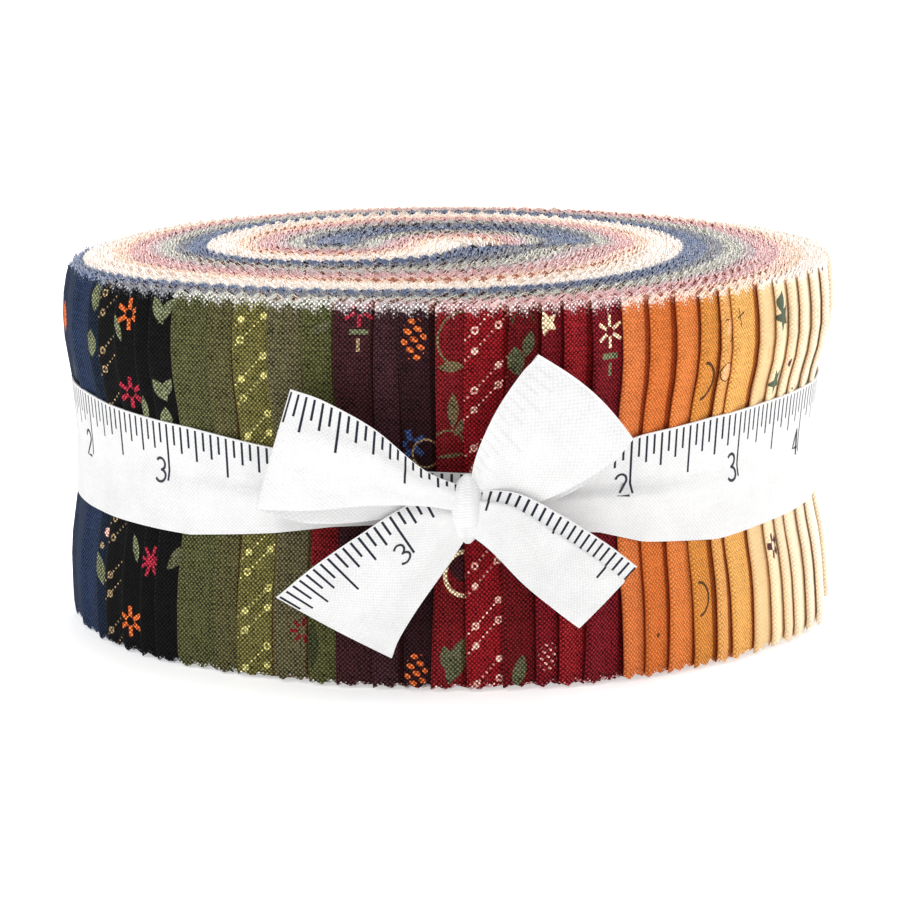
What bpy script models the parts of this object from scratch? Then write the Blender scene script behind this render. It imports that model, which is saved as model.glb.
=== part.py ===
"""Roll of folded cotton strips standing on its edge, held by a printed ribbon tied in a bow.

Metres, +Z up. The roll stands on z = 0, and the bow is at its front, towards -Y.
"""

import math

import bpy
import numpy as np

# The bundle: strips folded in half across their length, stacked, then wound from the inner end
STRIP_WIDTH = 0.0635
STRIP_COUNT = 40
FOLDED_STRIP_THICKNESS = 0.000564
BUNDLE = STRIP_COUNT * FOLDED_STRIP_THICKNESS

# The wound form: half turns about two centres one bundle apart, pressed a little flat
FRONT_SQUASH = 1.011
BACK_SQUASH = 0.951
SETTLE_SHARE = 0.687
CROWN_HEIGHT = 0.0018
CROWN_RINGS = ((0.955, 0.10), (0.62, 0.72), (0.28, 0.97))
DISH_RINGS = ((0.66, 0.0), (0.30, 0.80))

# The folded ends, one row a strip, from the innermost strip to the outermost
FOLD_ANGLES = {
    "navy": (-107, -101, -95.5, -90, -79, -70.9),
    "black": (-66.3, -60.9, -54.4, -51.4),
    "green": (-46.6, -38.6, -34.9, -28.4, -22.1),
    "purple": (-17.6, -11.3, -7.4),
    "red": (-2.3, 2.7, 9, 13.5, 17.4, 22),
    "orange": (27.7, 31.6, 36.2),
    "gold": (41.3, 45.9, 48.9),
    "cream": (53.6, 59, 63.5, 67.1, 71.7, 78.5, 91, 97, 103, 108),
}
FOLD_FOOT = 0.0003
FOLD_CREST = 0.0016
FOLD_SHOULDER = 0.0003
FOLD_PUFF = 0.0003
BACK_STEP_DEG = 8.0

# The outer face from the floor up: height and how far it is drawn in under the ribbon and at the rims
FACE_PROFILE = (
    # height, drawn in
    (0.0000, 0.0011),
    (0.0020, 0.0005),
    (0.0130, 0.0004),
    (0.0220, 0.0016),
    (0.0330, 0.0022),
    (0.0440, 0.0016),
    (0.0520, 0.0001),
    (0.0600, 0.0004),
    (0.0635, 0.0014),
)

# The groove where one turn of the bundle meets the next, on the top face, by degrees of winding
GROOVE_WIDTH = 0.0013
GROOVE_DEPTH = 0.0012
GROOVE_FROM, GROOVE_TO, GROOVE_STEP = 0.0, 546.0, 8.0

# The ribbon: its thickness, its clearance, and the band's edges round the roll
RIBBON_THICKNESS = 0.0010
CLEARANCE = 0.0004
BAND_STEP_DEG = 5.0
BAND_EDGES = (
    # angle from the front, lower edge, upper edge, lift off the roll
    (-180, 0.0230, 0.0434, 0.0000),
    (-110, 0.0229, 0.0432, 0.0000),
    (-72, 0.0228, 0.0430, 0.0000),
    (-45, 0.0230, 0.0414, 0.0000),
    (-30, 0.0252, 0.0396, 0.0002),
    (-20, 0.0272, 0.0386, 0.0006),
    (-8, 0.0285, 0.0372, 0.0010),
    (2, 0.0280, 0.0368, 0.0012),
    (12, 0.0272, 0.0380, 0.0010),
    (22, 0.0258, 0.0398, 0.0006),
    (30, 0.0233, 0.0415, 0.0002),
    (45, 0.0216, 0.0428, 0.0000),
    (70, 0.0226, 0.0438, 0.0000),
    (110, 0.0230, 0.0436, 0.0000),
    (180, 0.0230, 0.0434, 0.0000),
)

# The bow. Every point is x across the front, z up, and its distance in front of the roll
KNOT_CENTRE = (0.0014, 0.0318, 0.0031)
KNOT_HALF_SIZE = (0.0034, 0.0032, 0.0062)
KNOT_FULLNESS = 0.6
LEFT_LOOP = (
    # x and z of one edge, x and z of the other, distance at each edge
    (0.0010, 0.0305, 0.0010, 0.0345, 0.0046, 0.0046),
    (-0.0060, 0.0296, -0.0060, 0.0388, 0.0058, 0.0062),
    (-0.0150, 0.0290, -0.0140, 0.0455, 0.0068, 0.0074),
    (-0.0250, 0.0297, -0.0220, 0.0496, 0.0066, 0.0072),
    (-0.0325, 0.0304, -0.0268, 0.0508, 0.0056, 0.0060),
    (-0.0336, 0.0304, -0.0276, 0.0508, 0.0044, 0.0048),
    (-0.0325, 0.0302, -0.0268, 0.0502, 0.0032, 0.0036),
    (-0.0250, 0.0284, -0.0220, 0.0480, 0.0028, 0.0032),
    (-0.0150, 0.0278, -0.0140, 0.0430, 0.0028, 0.0030),
    (-0.0060, 0.0290, -0.0060, 0.0370, 0.0028, 0.0028),
    (0.0010, 0.0300, 0.0010, 0.0340, 0.0028, 0.0028),
)
RIGHT_LOOP = (
    # x and z of one edge, x and z of the other, distance at each edge
    (0.0016, 0.0348, 0.0036, 0.0318, 0.0046, 0.0046),
    (0.0028, 0.0415, 0.0098, 0.0322, 0.0060, 0.0058),
    (0.0062, 0.0490, 0.0180, 0.0352, 0.0074, 0.0068),
    (0.0108, 0.0552, 0.0255, 0.0394, 0.0076, 0.0070),
    (0.0132, 0.0574, 0.0284, 0.0420, 0.0068, 0.0062),
    (0.0138, 0.0580, 0.0290, 0.0425, 0.0056, 0.0050),
    (0.0132, 0.0572, 0.0284, 0.0417, 0.0044, 0.0038),
    (0.0104, 0.0536, 0.0250, 0.0378, 0.0034, 0.0030),
    (0.0060, 0.0470, 0.0176, 0.0335, 0.0030, 0.0028),
    (0.0028, 0.0402, 0.0096, 0.0310, 0.0028, 0.0028),
    (0.0018, 0.0340, 0.0034, 0.0312, 0.0028, 0.0028),
)
LEFT_TAIL = (
    # x and z of one edge, x and z of the other, distance at each edge
    (0.0002, 0.0316, 0.0018, 0.0282, 0.0040, 0.0042),
    (-0.0080, 0.0300, 0.0002, 0.0232, 0.0044, 0.0052),
    (-0.0165, 0.0262, -0.0042, 0.0162, 0.0046, 0.0062),
    (-0.0240, 0.0208, -0.0084, 0.0108, 0.0048, 0.0064),
    (-0.0304, 0.0158, -0.0112, 0.0076, 0.0046, 0.0060),
)
RIGHT_TAIL = (
    # x and z of one edge, x and z of the other, distance at each edge
    (0.0024, 0.0318, 0.0012, 0.0284, 0.0042, 0.0048),
    (0.0088, 0.0332, 0.0046, 0.0262, 0.0046, 0.0078),
    (0.0158, 0.0302, 0.0096, 0.0214, 0.0046, 0.0112),
    (0.0232, 0.0252, 0.0146, 0.0174, 0.0044, 0.0130),
    (0.0286, 0.0208, 0.0188, 0.0140, 0.0042, 0.0134),
)


def remove_scene_objects():
    for obj in list(bpy.data.objects):
        bpy.data.objects.remove(obj, do_unlink=True)


def cloth_material(name, colour, roughness):
    material = bpy.data.materials.new(name)
    material.use_nodes = True
    shader = material.node_tree.nodes["Principled BSDF"]
    shader.inputs["Base Color"].default_value = (*colour, 1.0)
    shader.inputs["Roughness"].default_value = roughness
    shader.inputs["Metallic"].default_value = 0.0
    return material


def mesh_object(name, points, faces, material):
    mesh = bpy.data.meshes.new(name)
    mesh.from_pydata([tuple(map(float, point)) for point in points], [], faces)
    mesh.materials.append(material)
    mesh.shade_smooth()
    mesh.set_sharp_from_angle(angle=math.radians(40))
    obj = bpy.data.objects.new(name, mesh)
    bpy.context.scene.collection.objects.link(obj)
    return obj


def boolean(target, other, operation):
    """Cuts or joins another shape, which is then only a helper."""
    modifier = target.modifiers.new(other.name, "BOOLEAN")
    modifier.operation = operation
    modifier.solver = "EXACT"
    modifier.object = other
    other.hide_render = True
    other.display_type = "WIRE"


def settle(turn_share):
    """How far the turns have moved in over the inner end, from 0 to 1 along a front half turn."""
    share = min(max(turn_share / SETTLE_SHARE, 0.0), 1.0)
    return share * share * (3 - 2 * share)


def wound_point(winding, layer):
    """A point of the spiral seen from above: outward winding in degrees, layer 0 navy to 1 cream.

    The front half turns are about a centre one bundle to the left of the roll's own centre, and
    the back half turns about the roll's centre, so that the bundle starts in an S.
    """
    if winding < 0:
        side, angle, radius = 0, winding + 180, 1 - layer
        if winding < -180:
            side, radius = -1, 2 - layer
    else:
        half_turns = int(winding // 180)
        turn = (half_turns + 1) // 2
        if half_turns % 2 == 0:
            side, angle = -1, -(winding - 180 * half_turns)
            base = (0, 2, 3)[turn] - (0 if turn == 0 else settle(-angle / 180))
        else:
            side, angle = 0, 180 - (winding - 180 * half_turns)
            base = turn
        radius = base + layer
    across = (side + radius * math.cos(math.radians(angle))) * BUNDLE
    deep = radius * math.sin(math.radians(angle)) * BUNDLE
    return across, deep * (FRONT_SQUASH if deep < 0 else BACK_SQUASH)


def front_angle(point):
    """Degrees from the front, positive towards +X."""
    return math.degrees(math.atan2(point[0], -point[1]))


def fold_windings():
    """Where each strip's fold lies along the spiral, from its angle in the table."""
    windings = np.arange(690.0, 935.0, 0.5)
    angles = [angle for family in FOLD_ANGLES.values() for angle in family]
    found = []
    for strip, angle in enumerate(angles):
        layer = (strip + 1) / STRIP_COUNT
        seen = [front_angle(wound_point(w, layer)) for w in windings]
        seen = np.degrees(np.unwrap(np.radians(seen)))
        found.append(float(np.interp(-angle, -seen, windings)))
    return found


def stepped_outline():
    """The roll from above, with one rounded step for each folded end, clockwise from the back left."""
    folds = fold_windings()

    def surface(winding, layer, puff=0.0):
        x, y = wound_point(winding, layer)
        grow = 1 + puff / math.hypot(x, y)
        return x * grow, y * grow

    def along(length, winding, layer):
        return math.degrees(length / math.hypot(*wound_point(winding, layer)))

    points = []
    winding = folds[0] - 360 + along(FOLD_FOOT, folds[0], 0)
    while winding < folds[-1] - BACK_STEP_DEG / 2:
        points.append(surface(winding, 1.0))
        winding += BACK_STEP_DEG
    for strip in reversed(range(STRIP_COUNT)):
        layer = (strip + 1) / STRIP_COUNT
        fold = folds[strip]
        before = along(FOLD_CREST, fold, layer)
        shoulder = along(FOLD_SHOULDER, fold, layer)
        points.append(surface(fold - before, layer, FOLD_PUFF))
        points.append(surface(fold - shoulder, layer, FOLD_PUFF / 2))
        points.append(surface(fold, layer - 0.5 / STRIP_COUNT))
        if strip > 0:
            points.append(surface(fold + along(FOLD_FOOT, fold, layer), layer - 1 / STRIP_COUNT))
    return points[::-1]


def drawn_in(height):
    rows = np.array(FACE_PROFILE)
    return float(np.interp(height, rows[:, 0], rows[:, 1]))


def moved_in(point, distance):
    shrink = 1 - distance / math.hypot(point[0], point[1])
    return point[0] * shrink, point[1] * shrink


def crown(point):
    """Height of the top face above its rim, over a point of the roll."""
    share = math.hypot(point[0], point[1]) / (3 * BUNDLE)
    return CROWN_HEIGHT * max(0.0, 1 - share**2)


def build_roll(material):
    outline = stepped_outline()
    count = len(outline)
    rings = []
    for share, rise in reversed(DISH_RINGS):
        rings.append([(x * share, y * share, CROWN_HEIGHT * rise) for x, y in outline])
    for height, inward in FACE_PROFILE:
        rings.append([(*moved_in(point, inward), height) for point in outline])
    for share, rise in CROWN_RINGS:
        rings.append([(x * share, y * share, STRIP_WIDTH + CROWN_HEIGHT * rise) for x, y in outline])
    points = [point for ring in rings for point in ring]
    low_centre, high_centre = len(points), len(points) + 1
    points += [(0.0, 0.0, CROWN_HEIGHT), (0.0, 0.0, STRIP_WIDTH + CROWN_HEIGHT)]
    faces = []
    for column in range(count):
        following = (column + 1) % count
        faces.append((low_centre, following, column))
        for ring in range(len(rings) - 1):
            low, high = ring * count, (ring + 1) * count
            faces.append((low + column, low + following, high + following, high + column))
        top = (len(rings) - 1) * count
        faces.append((top + column, top + following, high_centre))
    return mesh_object("strip_roll", points, faces, material)


def build_groove(material):
    """A V-shaped cutter along the line where each turn's cream face meets the next turn's navy face."""
    windings = np.arange(GROOVE_FROM, GROOVE_TO, GROOVE_STEP)
    centre = [wound_point(w, 1.0) for w in windings]
    points = []
    for index, (x, y) in enumerate(centre):
        before = centre[max(index - 1, 0)]
        after = centre[min(index + 1, len(centre) - 1)]
        run = np.array([after[0] - before[0], after[1] - before[1]])
        side = np.array([-run[1], run[0]]) / np.linalg.norm(run) * GROOVE_WIDTH
        top = STRIP_WIDTH + crown((x, y))
        points.append((x - side[0], y - side[1], top + GROOVE_DEPTH))
        points.append((x + side[0], y + side[1], top + GROOVE_DEPTH))
        points.append((x, y, top - GROOVE_DEPTH))
    last = len(points) - 3
    faces = [(0, 1, 2), (last, last + 2, last + 1)]
    for start in range(0, last, 3):
        for corner in range(3):
            other = (corner + 1) % 3
            faces.append((start + corner, start + 3 + corner, start + 3 + other, start + other))
    return mesh_object("groove_cutter", points, faces, material)


class Face:
    """The roll's outer face without its steps, read by angle from the front or by how far across it."""

    def __init__(self):
        folds = fold_windings()
        rows = [(folds[0] - 360.0, 1.0)]
        rows += [(folds[strip], (strip + 1) / STRIP_COUNT) for strip in reversed(range(STRIP_COUNT))]
        windings = np.arange(rows[0][0], rows[-1][0], 2.0)
        layers = np.interp(windings, [row[0] for row in rows], [row[1] for row in rows])
        path = np.array([wound_point(w, layer) for w, layer in zip(windings, layers)])[::-1]
        seen = np.degrees(np.unwrap(np.arctan2(path[:, 0], -path[:, 1])))
        self.angles = np.arange(-180.0, 181.0, 2.0)
        wanted = seen[0] + (self.angles - seen[0]) % 360
        self.points = np.stack([np.interp(wanted, seen, path[:, part]) for part in (0, 1)], axis=1)

    def at_angle(self, angle, height, off):
        x = float(np.interp(angle, self.angles, self.points[:, 0]))
        y = float(np.interp(angle, self.angles, self.points[:, 1]))
        x, y = moved_in((x, y), drawn_in(height) - FOLD_PUFF - off)
        return x, y, height

    def in_front(self, x, height, off):
        front = np.abs(self.angles) < 80
        y = float(np.interp(x, self.points[front, 0], self.points[front, 1]))
        return x, y - FOLD_PUFF - off, height


def slab(name, inner, outer, closed, material):
    """A thin solid between two matching grids of points, rows along the ribbon."""
    rows, columns = len(inner), len(inner[0])
    points = [point for grid in (inner, outer) for row in grid for point in row]
    shift = rows * columns

    def at(row, column, layer):
        return (row % rows) * columns + column + layer * shift

    faces = []
    for row in range(rows if closed else rows - 1):
        for column in range(columns - 1):
            corners = ((row, column), (row, column + 1), (row + 1, column + 1), (row + 1, column))
            faces.append(tuple(at(*corner, 0) for corner in corners))
            faces.append(tuple(at(*corner, 1) for corner in corners[::-1]))
        for column, turn in ((0, 1), (columns - 1, -1)):
            edge = (at(row, column, 0), at(row + 1, column, 0), at(row + 1, column, 1), at(row, column, 1))
            faces.append(edge[::turn])
    if not closed:
        for row, turn in ((0, -1), (rows - 1, 1)):
            for column in range(columns - 1):
                end = (at(row, column, 0), at(row, column + 1, 0), at(row, column + 1, 1), at(row, column, 1))
                faces.append(end[::turn])
    return mesh_object(name, points, faces, material)


def build_band(face, material):
    rows = np.array(BAND_EDGES)
    inner, outer = [], []
    for angle in np.arange(-180.0, 180.0, BAND_STEP_DEG):
        low, high, lift = (np.interp(angle, rows[:, 0], rows[:, part]) for part in (1, 2, 3))
        heights = [low + (high - low) * share for share in (0.0, 0.5, 1.0)]
        near = [face.at_angle(angle, height, CLEARANCE + lift) for height in heights]
        far = [face.at_angle(angle, height, CLEARANCE + lift + RIBBON_THICKNESS) for height in heights]
        inner.append(near)
        outer.append(far)
    return slab("ribbon_tie", inner, outer, True, material)


def build_flap(name, table, face, material):
    """A loop or a tail of the bow from its two edges, with its thickness put on both sides."""
    middle = []
    for x0, z0, x1, z1, off0, off1 in table:
        row = []
        for share in (0.0, 0.5, 1.0):
            x, z, off = x0 + (x1 - x0) * share, z0 + (z1 - z0) * share, off0 + (off1 - off0) * share
            row.append(np.array(face.in_front(x, z, off)))
        middle.append(row)
    inner, outer = [], []
    for index, row in enumerate(middle):
        before, after = middle[max(index - 1, 0)], middle[min(index + 1, len(middle) - 1)]
        near, far = [], []
        for column, point in enumerate(row):
            run = after[column] - before[column]
            across = row[-1] - row[0]
            normal = np.cross(run, across)
            normal *= RIBBON_THICKNESS / 2 / np.linalg.norm(normal)
            near.append(point - normal)
            far.append(point + normal)
        inner.append(near)
        outer.append(far)
    return slab(name, inner, outer, False, material)


def build_knot(face, material):
    """The knot as a rounded pillow, drawn from rings of points."""
    x0, z0, off0 = KNOT_CENTRE
    centre = np.array(face.in_front(x0, z0, off0))
    rings, sides = 6, 12
    points = [centre - (0, 0, KNOT_HALF_SIZE[2])]
    for ring in range(1, rings):
        tilt = math.pi * ring / rings
        across = math.sin(tilt) ** KNOT_FULLNESS
        for side in range(sides):
            turn = 2 * math.pi * side / sides
            direction = (across * math.cos(turn), across * math.sin(turn), -math.cos(tilt))
            points.append(centre + np.array(KNOT_HALF_SIZE) * direction)
    points.append(centre + (0, 0, KNOT_HALF_SIZE[2]))
    faces = []
    for side in range(sides):
        following = (side + 1) % sides
        faces.append((0, 1 + following, 1 + side))
        for ring in range(rings - 2):
            low, high = 1 + ring * sides, 1 + (ring + 1) * sides
            faces.append((low + side, low + following, high + following, high + side))
        last = 1 + (rings - 2) * sides
        faces.append((last + side, last + following, len(points) - 1))
    return mesh_object("knot_form", points, faces, material)


def stand_on_origin():
    """Moves everything so that the origin is under the middle of the whole part."""
    bpy.context.view_layer.update()
    graph = bpy.context.evaluated_depsgraph_get()
    corners = []
    for obj in bpy.context.scene.objects:
        if not obj.hide_render:
            mesh = obj.evaluated_get(graph).data
            corners += [vertex.co[:] for vertex in mesh.vertices]
    corners = np.array(corners)
    low, high = corners.min(axis=0), corners.max(axis=0)
    for obj in bpy.context.scene.objects:
        obj.location = (-(low[0] + high[0]) / 2, -(low[1] + high[1]) / 2, -low[2])


def main():
    remove_scene_objects()
    cotton = cloth_material("printed_cotton", (0.33, 0.11, 0.07), 0.9)
    ribbon = cloth_material("printed_ribbon", (0.86, 0.86, 0.85), 0.75)
    roll = build_roll(cotton)
    boolean(roll, build_groove(cotton), "DIFFERENCE")
    face = Face()
    tie = build_band(face, ribbon)
    boolean(tie, build_knot(face, ribbon), "UNION")
    for name, table in (
        ("left_loop_form", LEFT_LOOP),
        ("right_loop_form", RIGHT_LOOP),
        ("left_tail_form", LEFT_TAIL),
        ("right_tail_form", RIGHT_TAIL),
    ):
        boolean(tie, build_flap(name, table, face, ribbon), "UNION")
    stand_on_origin()


main()
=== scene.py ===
# %% [markdown]
# # A roll of cotton strips, tied with a ruler ribbon
# Forty strips of quilting cotton are folded in half, stacked into one bundle and wound into a
# tight spiral that stands on its edge. A printed tape holds it with a bow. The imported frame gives
# the real size and place of both. This lesson makes every strip as its own thin folded sheet, with
# zigzag cut edges and yarn ends, and weaves, prints and ties the rest around it.

# %% Load the frame
import math

import bpy
import numpy as np
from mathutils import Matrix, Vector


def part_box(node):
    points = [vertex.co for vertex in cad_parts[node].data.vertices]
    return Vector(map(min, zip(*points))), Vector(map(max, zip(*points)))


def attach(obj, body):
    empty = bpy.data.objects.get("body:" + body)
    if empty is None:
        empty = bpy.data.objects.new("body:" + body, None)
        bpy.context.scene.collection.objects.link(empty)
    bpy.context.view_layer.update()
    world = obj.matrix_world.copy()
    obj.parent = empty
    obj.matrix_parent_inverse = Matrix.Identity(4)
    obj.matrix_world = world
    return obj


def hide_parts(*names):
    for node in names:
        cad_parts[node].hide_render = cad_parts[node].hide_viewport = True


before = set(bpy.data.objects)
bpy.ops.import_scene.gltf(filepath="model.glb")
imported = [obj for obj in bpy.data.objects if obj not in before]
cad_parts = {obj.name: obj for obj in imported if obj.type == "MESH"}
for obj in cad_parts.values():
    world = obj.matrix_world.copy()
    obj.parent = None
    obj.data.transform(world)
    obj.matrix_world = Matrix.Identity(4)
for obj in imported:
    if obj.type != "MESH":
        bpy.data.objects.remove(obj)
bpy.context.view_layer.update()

MM = 0.001
roll_low, roll_high = (np.array(corner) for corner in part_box("strip_roll"))
print("roll", np.round((roll_high - roll_low) / MM, 1), "mm")

# %% [markdown]
# ## The bundle seen from above
# A roll like this starts in an S: the bundle turns about one centre and then about another, one
# bundle's thickness away, and from there on it is half circles about those two centres. That is a
# rule, so the whole spiral is one function of how far it is wound and of how deep in the bundle a
# layer lies. Beside the bundle's own inner end the dark layers stand loosely and fill the space, and
# at the right the outer turn is slack and the turns inside it are pressed closer together.
# Every sheet, and the ribbon on the outside, reads its place from that function.

# %% The winding rule
STRIP_WIDTH = 63.5 * MM
STRIP_COUNT = 40
BUNDLE = STRIP_COUNT * 0.564 * MM
FRONT_SQUASH = 1.011
BACK_SQUASH = 0.951
SETTLE_SHARE = 0.687
TURN_STARTS = np.array([0, 2, 3, 4])
LOOSE_TURN = 14.0
RIPPLE = 0.012
RIGHT_SLACK = 6.5 * MM
SLACK_RADII = np.array([0.0, 43.0, 66.5]) * MM


def smooth_share(value):
    share = np.clip(value, 0, 1)
    return share * share * (3 - 2 * share)


def wound_point(winding, layer):
    """Points of the spiral about the roll's centre: outward winding in degrees, layer 0 navy to 1 cream."""
    winding, layer = np.broadcast_arrays(np.asarray(winding, float), np.asarray(layer, float))
    half_turns = np.floor(winding / 180).astype(int)
    within = winding - 180 * half_turns
    front = (half_turns % 2 == 0)
    turn = (half_turns + 1) // 2
    settled = np.where(turn > 0, smooth_share(within / 180 / SETTLE_SHARE), 0)
    base = np.where(front, TURN_STARTS[np.clip(turn, 0, 3)] - settled, turn)
    loose = np.where(half_turns == 2, (base - 1) * smooth_share(within / LOOSE_TURN), 0) * (1 - layer) ** 2
    radius = base + layer - loose * (1 + RIPPLE * np.sin(np.radians(winding * 22) + layer * 600))
    radius = np.where(winding < 0, 1 - layer, radius)
    radius = np.where(winding < -180, 2 - layer, radius)
    angle = np.where(front, -within, 180 - within)
    angle = np.where(winding < 0, winding + 180, angle)
    side = np.where((front & (winding >= 0)) | (winding < -180), -1, 0)
    across = (side + radius * np.cos(np.radians(angle))) * BUNDLE
    deep = radius * np.sin(np.radians(angle)) * BUNDLE
    deep = deep * np.where(deep < 0, FRONT_SQUASH, BACK_SQUASH)
    points = np.stack([across, deep], axis=-1)
    out = np.linalg.norm(points, axis=-1)
    slack = np.interp(out, SLACK_RADII, (0, RIGHT_SLACK, 0)) * np.clip(across / np.maximum(out, MM), 0, 1) ** 1.5
    return points * (1 - slack / np.maximum(out, MM))[..., None]


# %% [markdown]
# ## Where the forty folds lie
# The strips are stacked with their inner ends level. Outside, the navy strips run the furthest and
# the cream ones end first, so their folds step down all round the front, one rounded ridge beside
# the next. Each row gives one colour family and the angles of its folds from the front.

# %% The folds
FOLD_ANGLES = {
    "navy": (-107, -100, -93, -84, -74.5, -67.1),
    "black": (-63.5, -58.8, -54.3, -50.9),
    "green": (-46.6, -39.8, -35.6, -29.5, -23.9),
    "purple": (-19.1, -13.1, -8.9),
    "red": (-4.1, 0.9, 7.1, 12.2, 15.7, 19.9),
    "orange": (25.9, 30.2, 34.8),
    "gold": (39.9, 44.3, 47),
    "cream": (53.2, 58.1, 61.8, 65, 69.4, 74.6, 91, 97, 103, 108),
}
OUTER_TURN = np.arange(690.0, 935.0, 0.5)


def front_angles(points):
    """Degrees from the front, positive towards +X, without jumps."""
    return np.degrees(np.unwrap(np.arctan2(points[:, 0], -points[:, 1])))


fold_windings = []
for strip, angle in enumerate(sum(FOLD_ANGLES.values(), ())):
    seen = front_angles(wound_point(OUTER_TURN, (strip + 1) / STRIP_COUNT))
    fold_windings.append(float(np.interp(-angle, -seen, OUTER_TURN)))
print("folds", len(fold_windings), "from", round(fold_windings[-1]), "to", round(fold_windings[0]), "degrees")

# %% [markdown]
# ## The outer face
# The sheets near the outside are drawn in by the ribbon and at the rims. The face without its
# steps is kept as a table by angle, with the roll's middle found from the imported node's box.

# %% The face and its profile
FACE_PROFILE = np.array([
    # height, drawn in at the left, at the front and back, and at the right
    (0.0, 1.2, 0.8, -0.2), (2.0, 0.6, 0.2, -0.5), (13.0, 0.4, 0.4, 0.6), (22.0, 1.6, 1.7, 2.8),
    (33.0, 1.8, 2.3, 3.5), (44.0, 0.8, 1.6, 2.4), (52.0, -0.4, 0.1, -0.2), (60.0, 0.0, 0.3, -0.1),
    (63.5, 1.2, 1.3, 0.7),
]) * MM
FOLD_PUFF = 0.3 * MM
FOOT_CROWN = 1.8 * MM
TOP_CROWN = 2.2 * MM
RIM_LIFT = 0.15 * MM
TOP_TILT = 0.009

face_windings = np.arange(fold_windings[0] - 360, fold_windings[0], 1.0)
fold_rows = [(fold_windings[0] - 360, 1.0)]
fold_rows += [(fold_windings[strip], (strip + 1) / STRIP_COUNT) for strip in reversed(range(STRIP_COUNT))]
fold_rows = np.array(fold_rows)
face_path = wound_point(face_windings, np.interp(face_windings, fold_rows[:, 0], fold_rows[:, 1]))[::-1]
face_seen = front_angles(face_path)
FACE_ANGLES = np.arange(-180.0, 181.0, 1.0)
unrolled = face_seen[0] + (FACE_ANGLES - face_seen[0]) % 360
face_points = np.stack([np.interp(unrolled, face_seen, face_path[:, part]) for part in (0, 1)], axis=1)
face_radii = np.linalg.norm(face_points, axis=1)
face_middle = (face_points.min(axis=0) + face_points.max(axis=0)) / 2
ROLL_CENTRE = np.array([*((roll_low + roll_high)[:2] / 2 - face_middle), 0.0])
print("roll centre", np.round(ROLL_CENTRE / MM, 2), "mm")


PROFILE_HEIGHTS = np.arange(-10, 75, 0.5) * MM
soft_steps = np.hanning(15)[1:-1]
soft_profiles = []
for side in (1, 2, 3):
    rough = np.interp(PROFILE_HEIGHTS, FACE_PROFILE[:, 0], FACE_PROFILE[:, side])
    soft_profiles.append(np.convolve(np.pad(rough, 6, mode="edge"), soft_steps / soft_steps.sum(), "valid"))


def drawn_in(height, angle):
    """How far the face is drawn in at a height, from the left's, the front's and the right's profile."""
    left, front, right = (np.interp(height, PROFILE_HEIGHTS, profile) for profile in soft_profiles)
    at_left, at_right = (np.clip(1 - np.abs(angle - side) / 90, 0, 1) for side in (-90, 90))
    return front + (left - front) * at_left + (right - front) * at_right


def foot_lift(points):
    """How far the strips' lower edges stand up towards the middle of the roll."""
    radius = np.linalg.norm(points, axis=-1)
    return FOOT_CROWN * np.clip(1 - (radius / (3 * BUNDLE)) ** 2, 0, 1)


def top_lift(points):
    """How far their upper edges stand up: a flat top with a rounded rim, a little higher in front."""
    radius = np.linalg.norm(points, axis=-1)
    return RIM_LIFT + TOP_CROWN * np.clip(1 - (radius / (3 * BUNDLE)) ** 4, 0, 1) - TOP_TILT * points[..., 1]


def angle_of(points):
    return np.degrees(np.arctan2(points[..., 0], -points[..., 1]))


def depth_in(points):
    """How deep a point lies under the outer face."""
    return np.interp(angle_of(points), FACE_ANGLES, face_radii) - np.linalg.norm(points, axis=-1)


def face_at(angle, height, off):
    """The face at an angle from the front and a height, a distance off it."""
    flat = np.stack([np.interp(angle, FACE_ANGLES, face_points[:, part]) for part in (0, 1)], axis=-1)
    radius = np.linalg.norm(flat, axis=-1)
    share = 1 - (drawn_in(height, angle) - FOLD_PUFF - off) / radius
    return np.stack([flat[..., 0] * share, flat[..., 1] * share, height + 0 * share], axis=-1)


def face_front(across, height, off):
    """The face seen straight on, at a distance across it, with the off measured towards the viewer."""
    front = np.abs(FACE_ANGLES) < 80
    deep = np.interp(across, face_points[front, 0], face_points[front, 1])
    return np.stack([across + 0 * off, deep - FOLD_PUFF - off, height + 0 * off], axis=-1)


# %% [markdown]
# ## The viewpoint
# The photograph was taken from low in front with a long lens. The lens, distance, height and tilt
# were worked out from the roll's rims, which are known to be one strip's width apart.

# %% Camera
CAMERA_LEFT = 1.957 * MM
CAMERA_AWAY = 634.7 * MM
CAMERA_HEIGHT = 157.9 * MM
CAMERA_TILT = 0.2012
FOCAL_PIXELS = 3608.8
FRAME_PIXELS = 900
SENSOR = 36.0
SHIFT_PIXELS = 1.6

camera_data = bpy.data.cameras.new("camera")
camera_data.sensor_width = SENSOR
camera_data.lens = FOCAL_PIXELS / FRAME_PIXELS * SENSOR
camera_data.shift_y = -SHIFT_PIXELS / FRAME_PIXELS
camera_data.clip_start = 0.01
camera = bpy.data.objects.new("camera", camera_data)
camera.location = ROLL_CENTRE + np.array([-CAMERA_LEFT, -CAMERA_AWAY, CAMERA_HEIGHT])
camera.rotation_euler = (math.pi / 2 - CAMERA_TILT, 0, 0)
bpy.context.scene.collection.objects.link(camera)
bpy.context.scene.camera = camera
print("lens", round(camera_data.lens, 1), "mm")

# %% [markdown]
# ## One folded strip as a sheet
# Each strip is one closed mesh: cloth 0.2 mm thick that runs out from the core, round its fold and
# back in beside itself. Columns of points stand at every tip and valley of the pinked edges. Only
# columns near the outside also get points between the edges, because only there does the cloth
# bend in under the ribbon. That keeps forty real sheets light enough to model.

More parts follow.
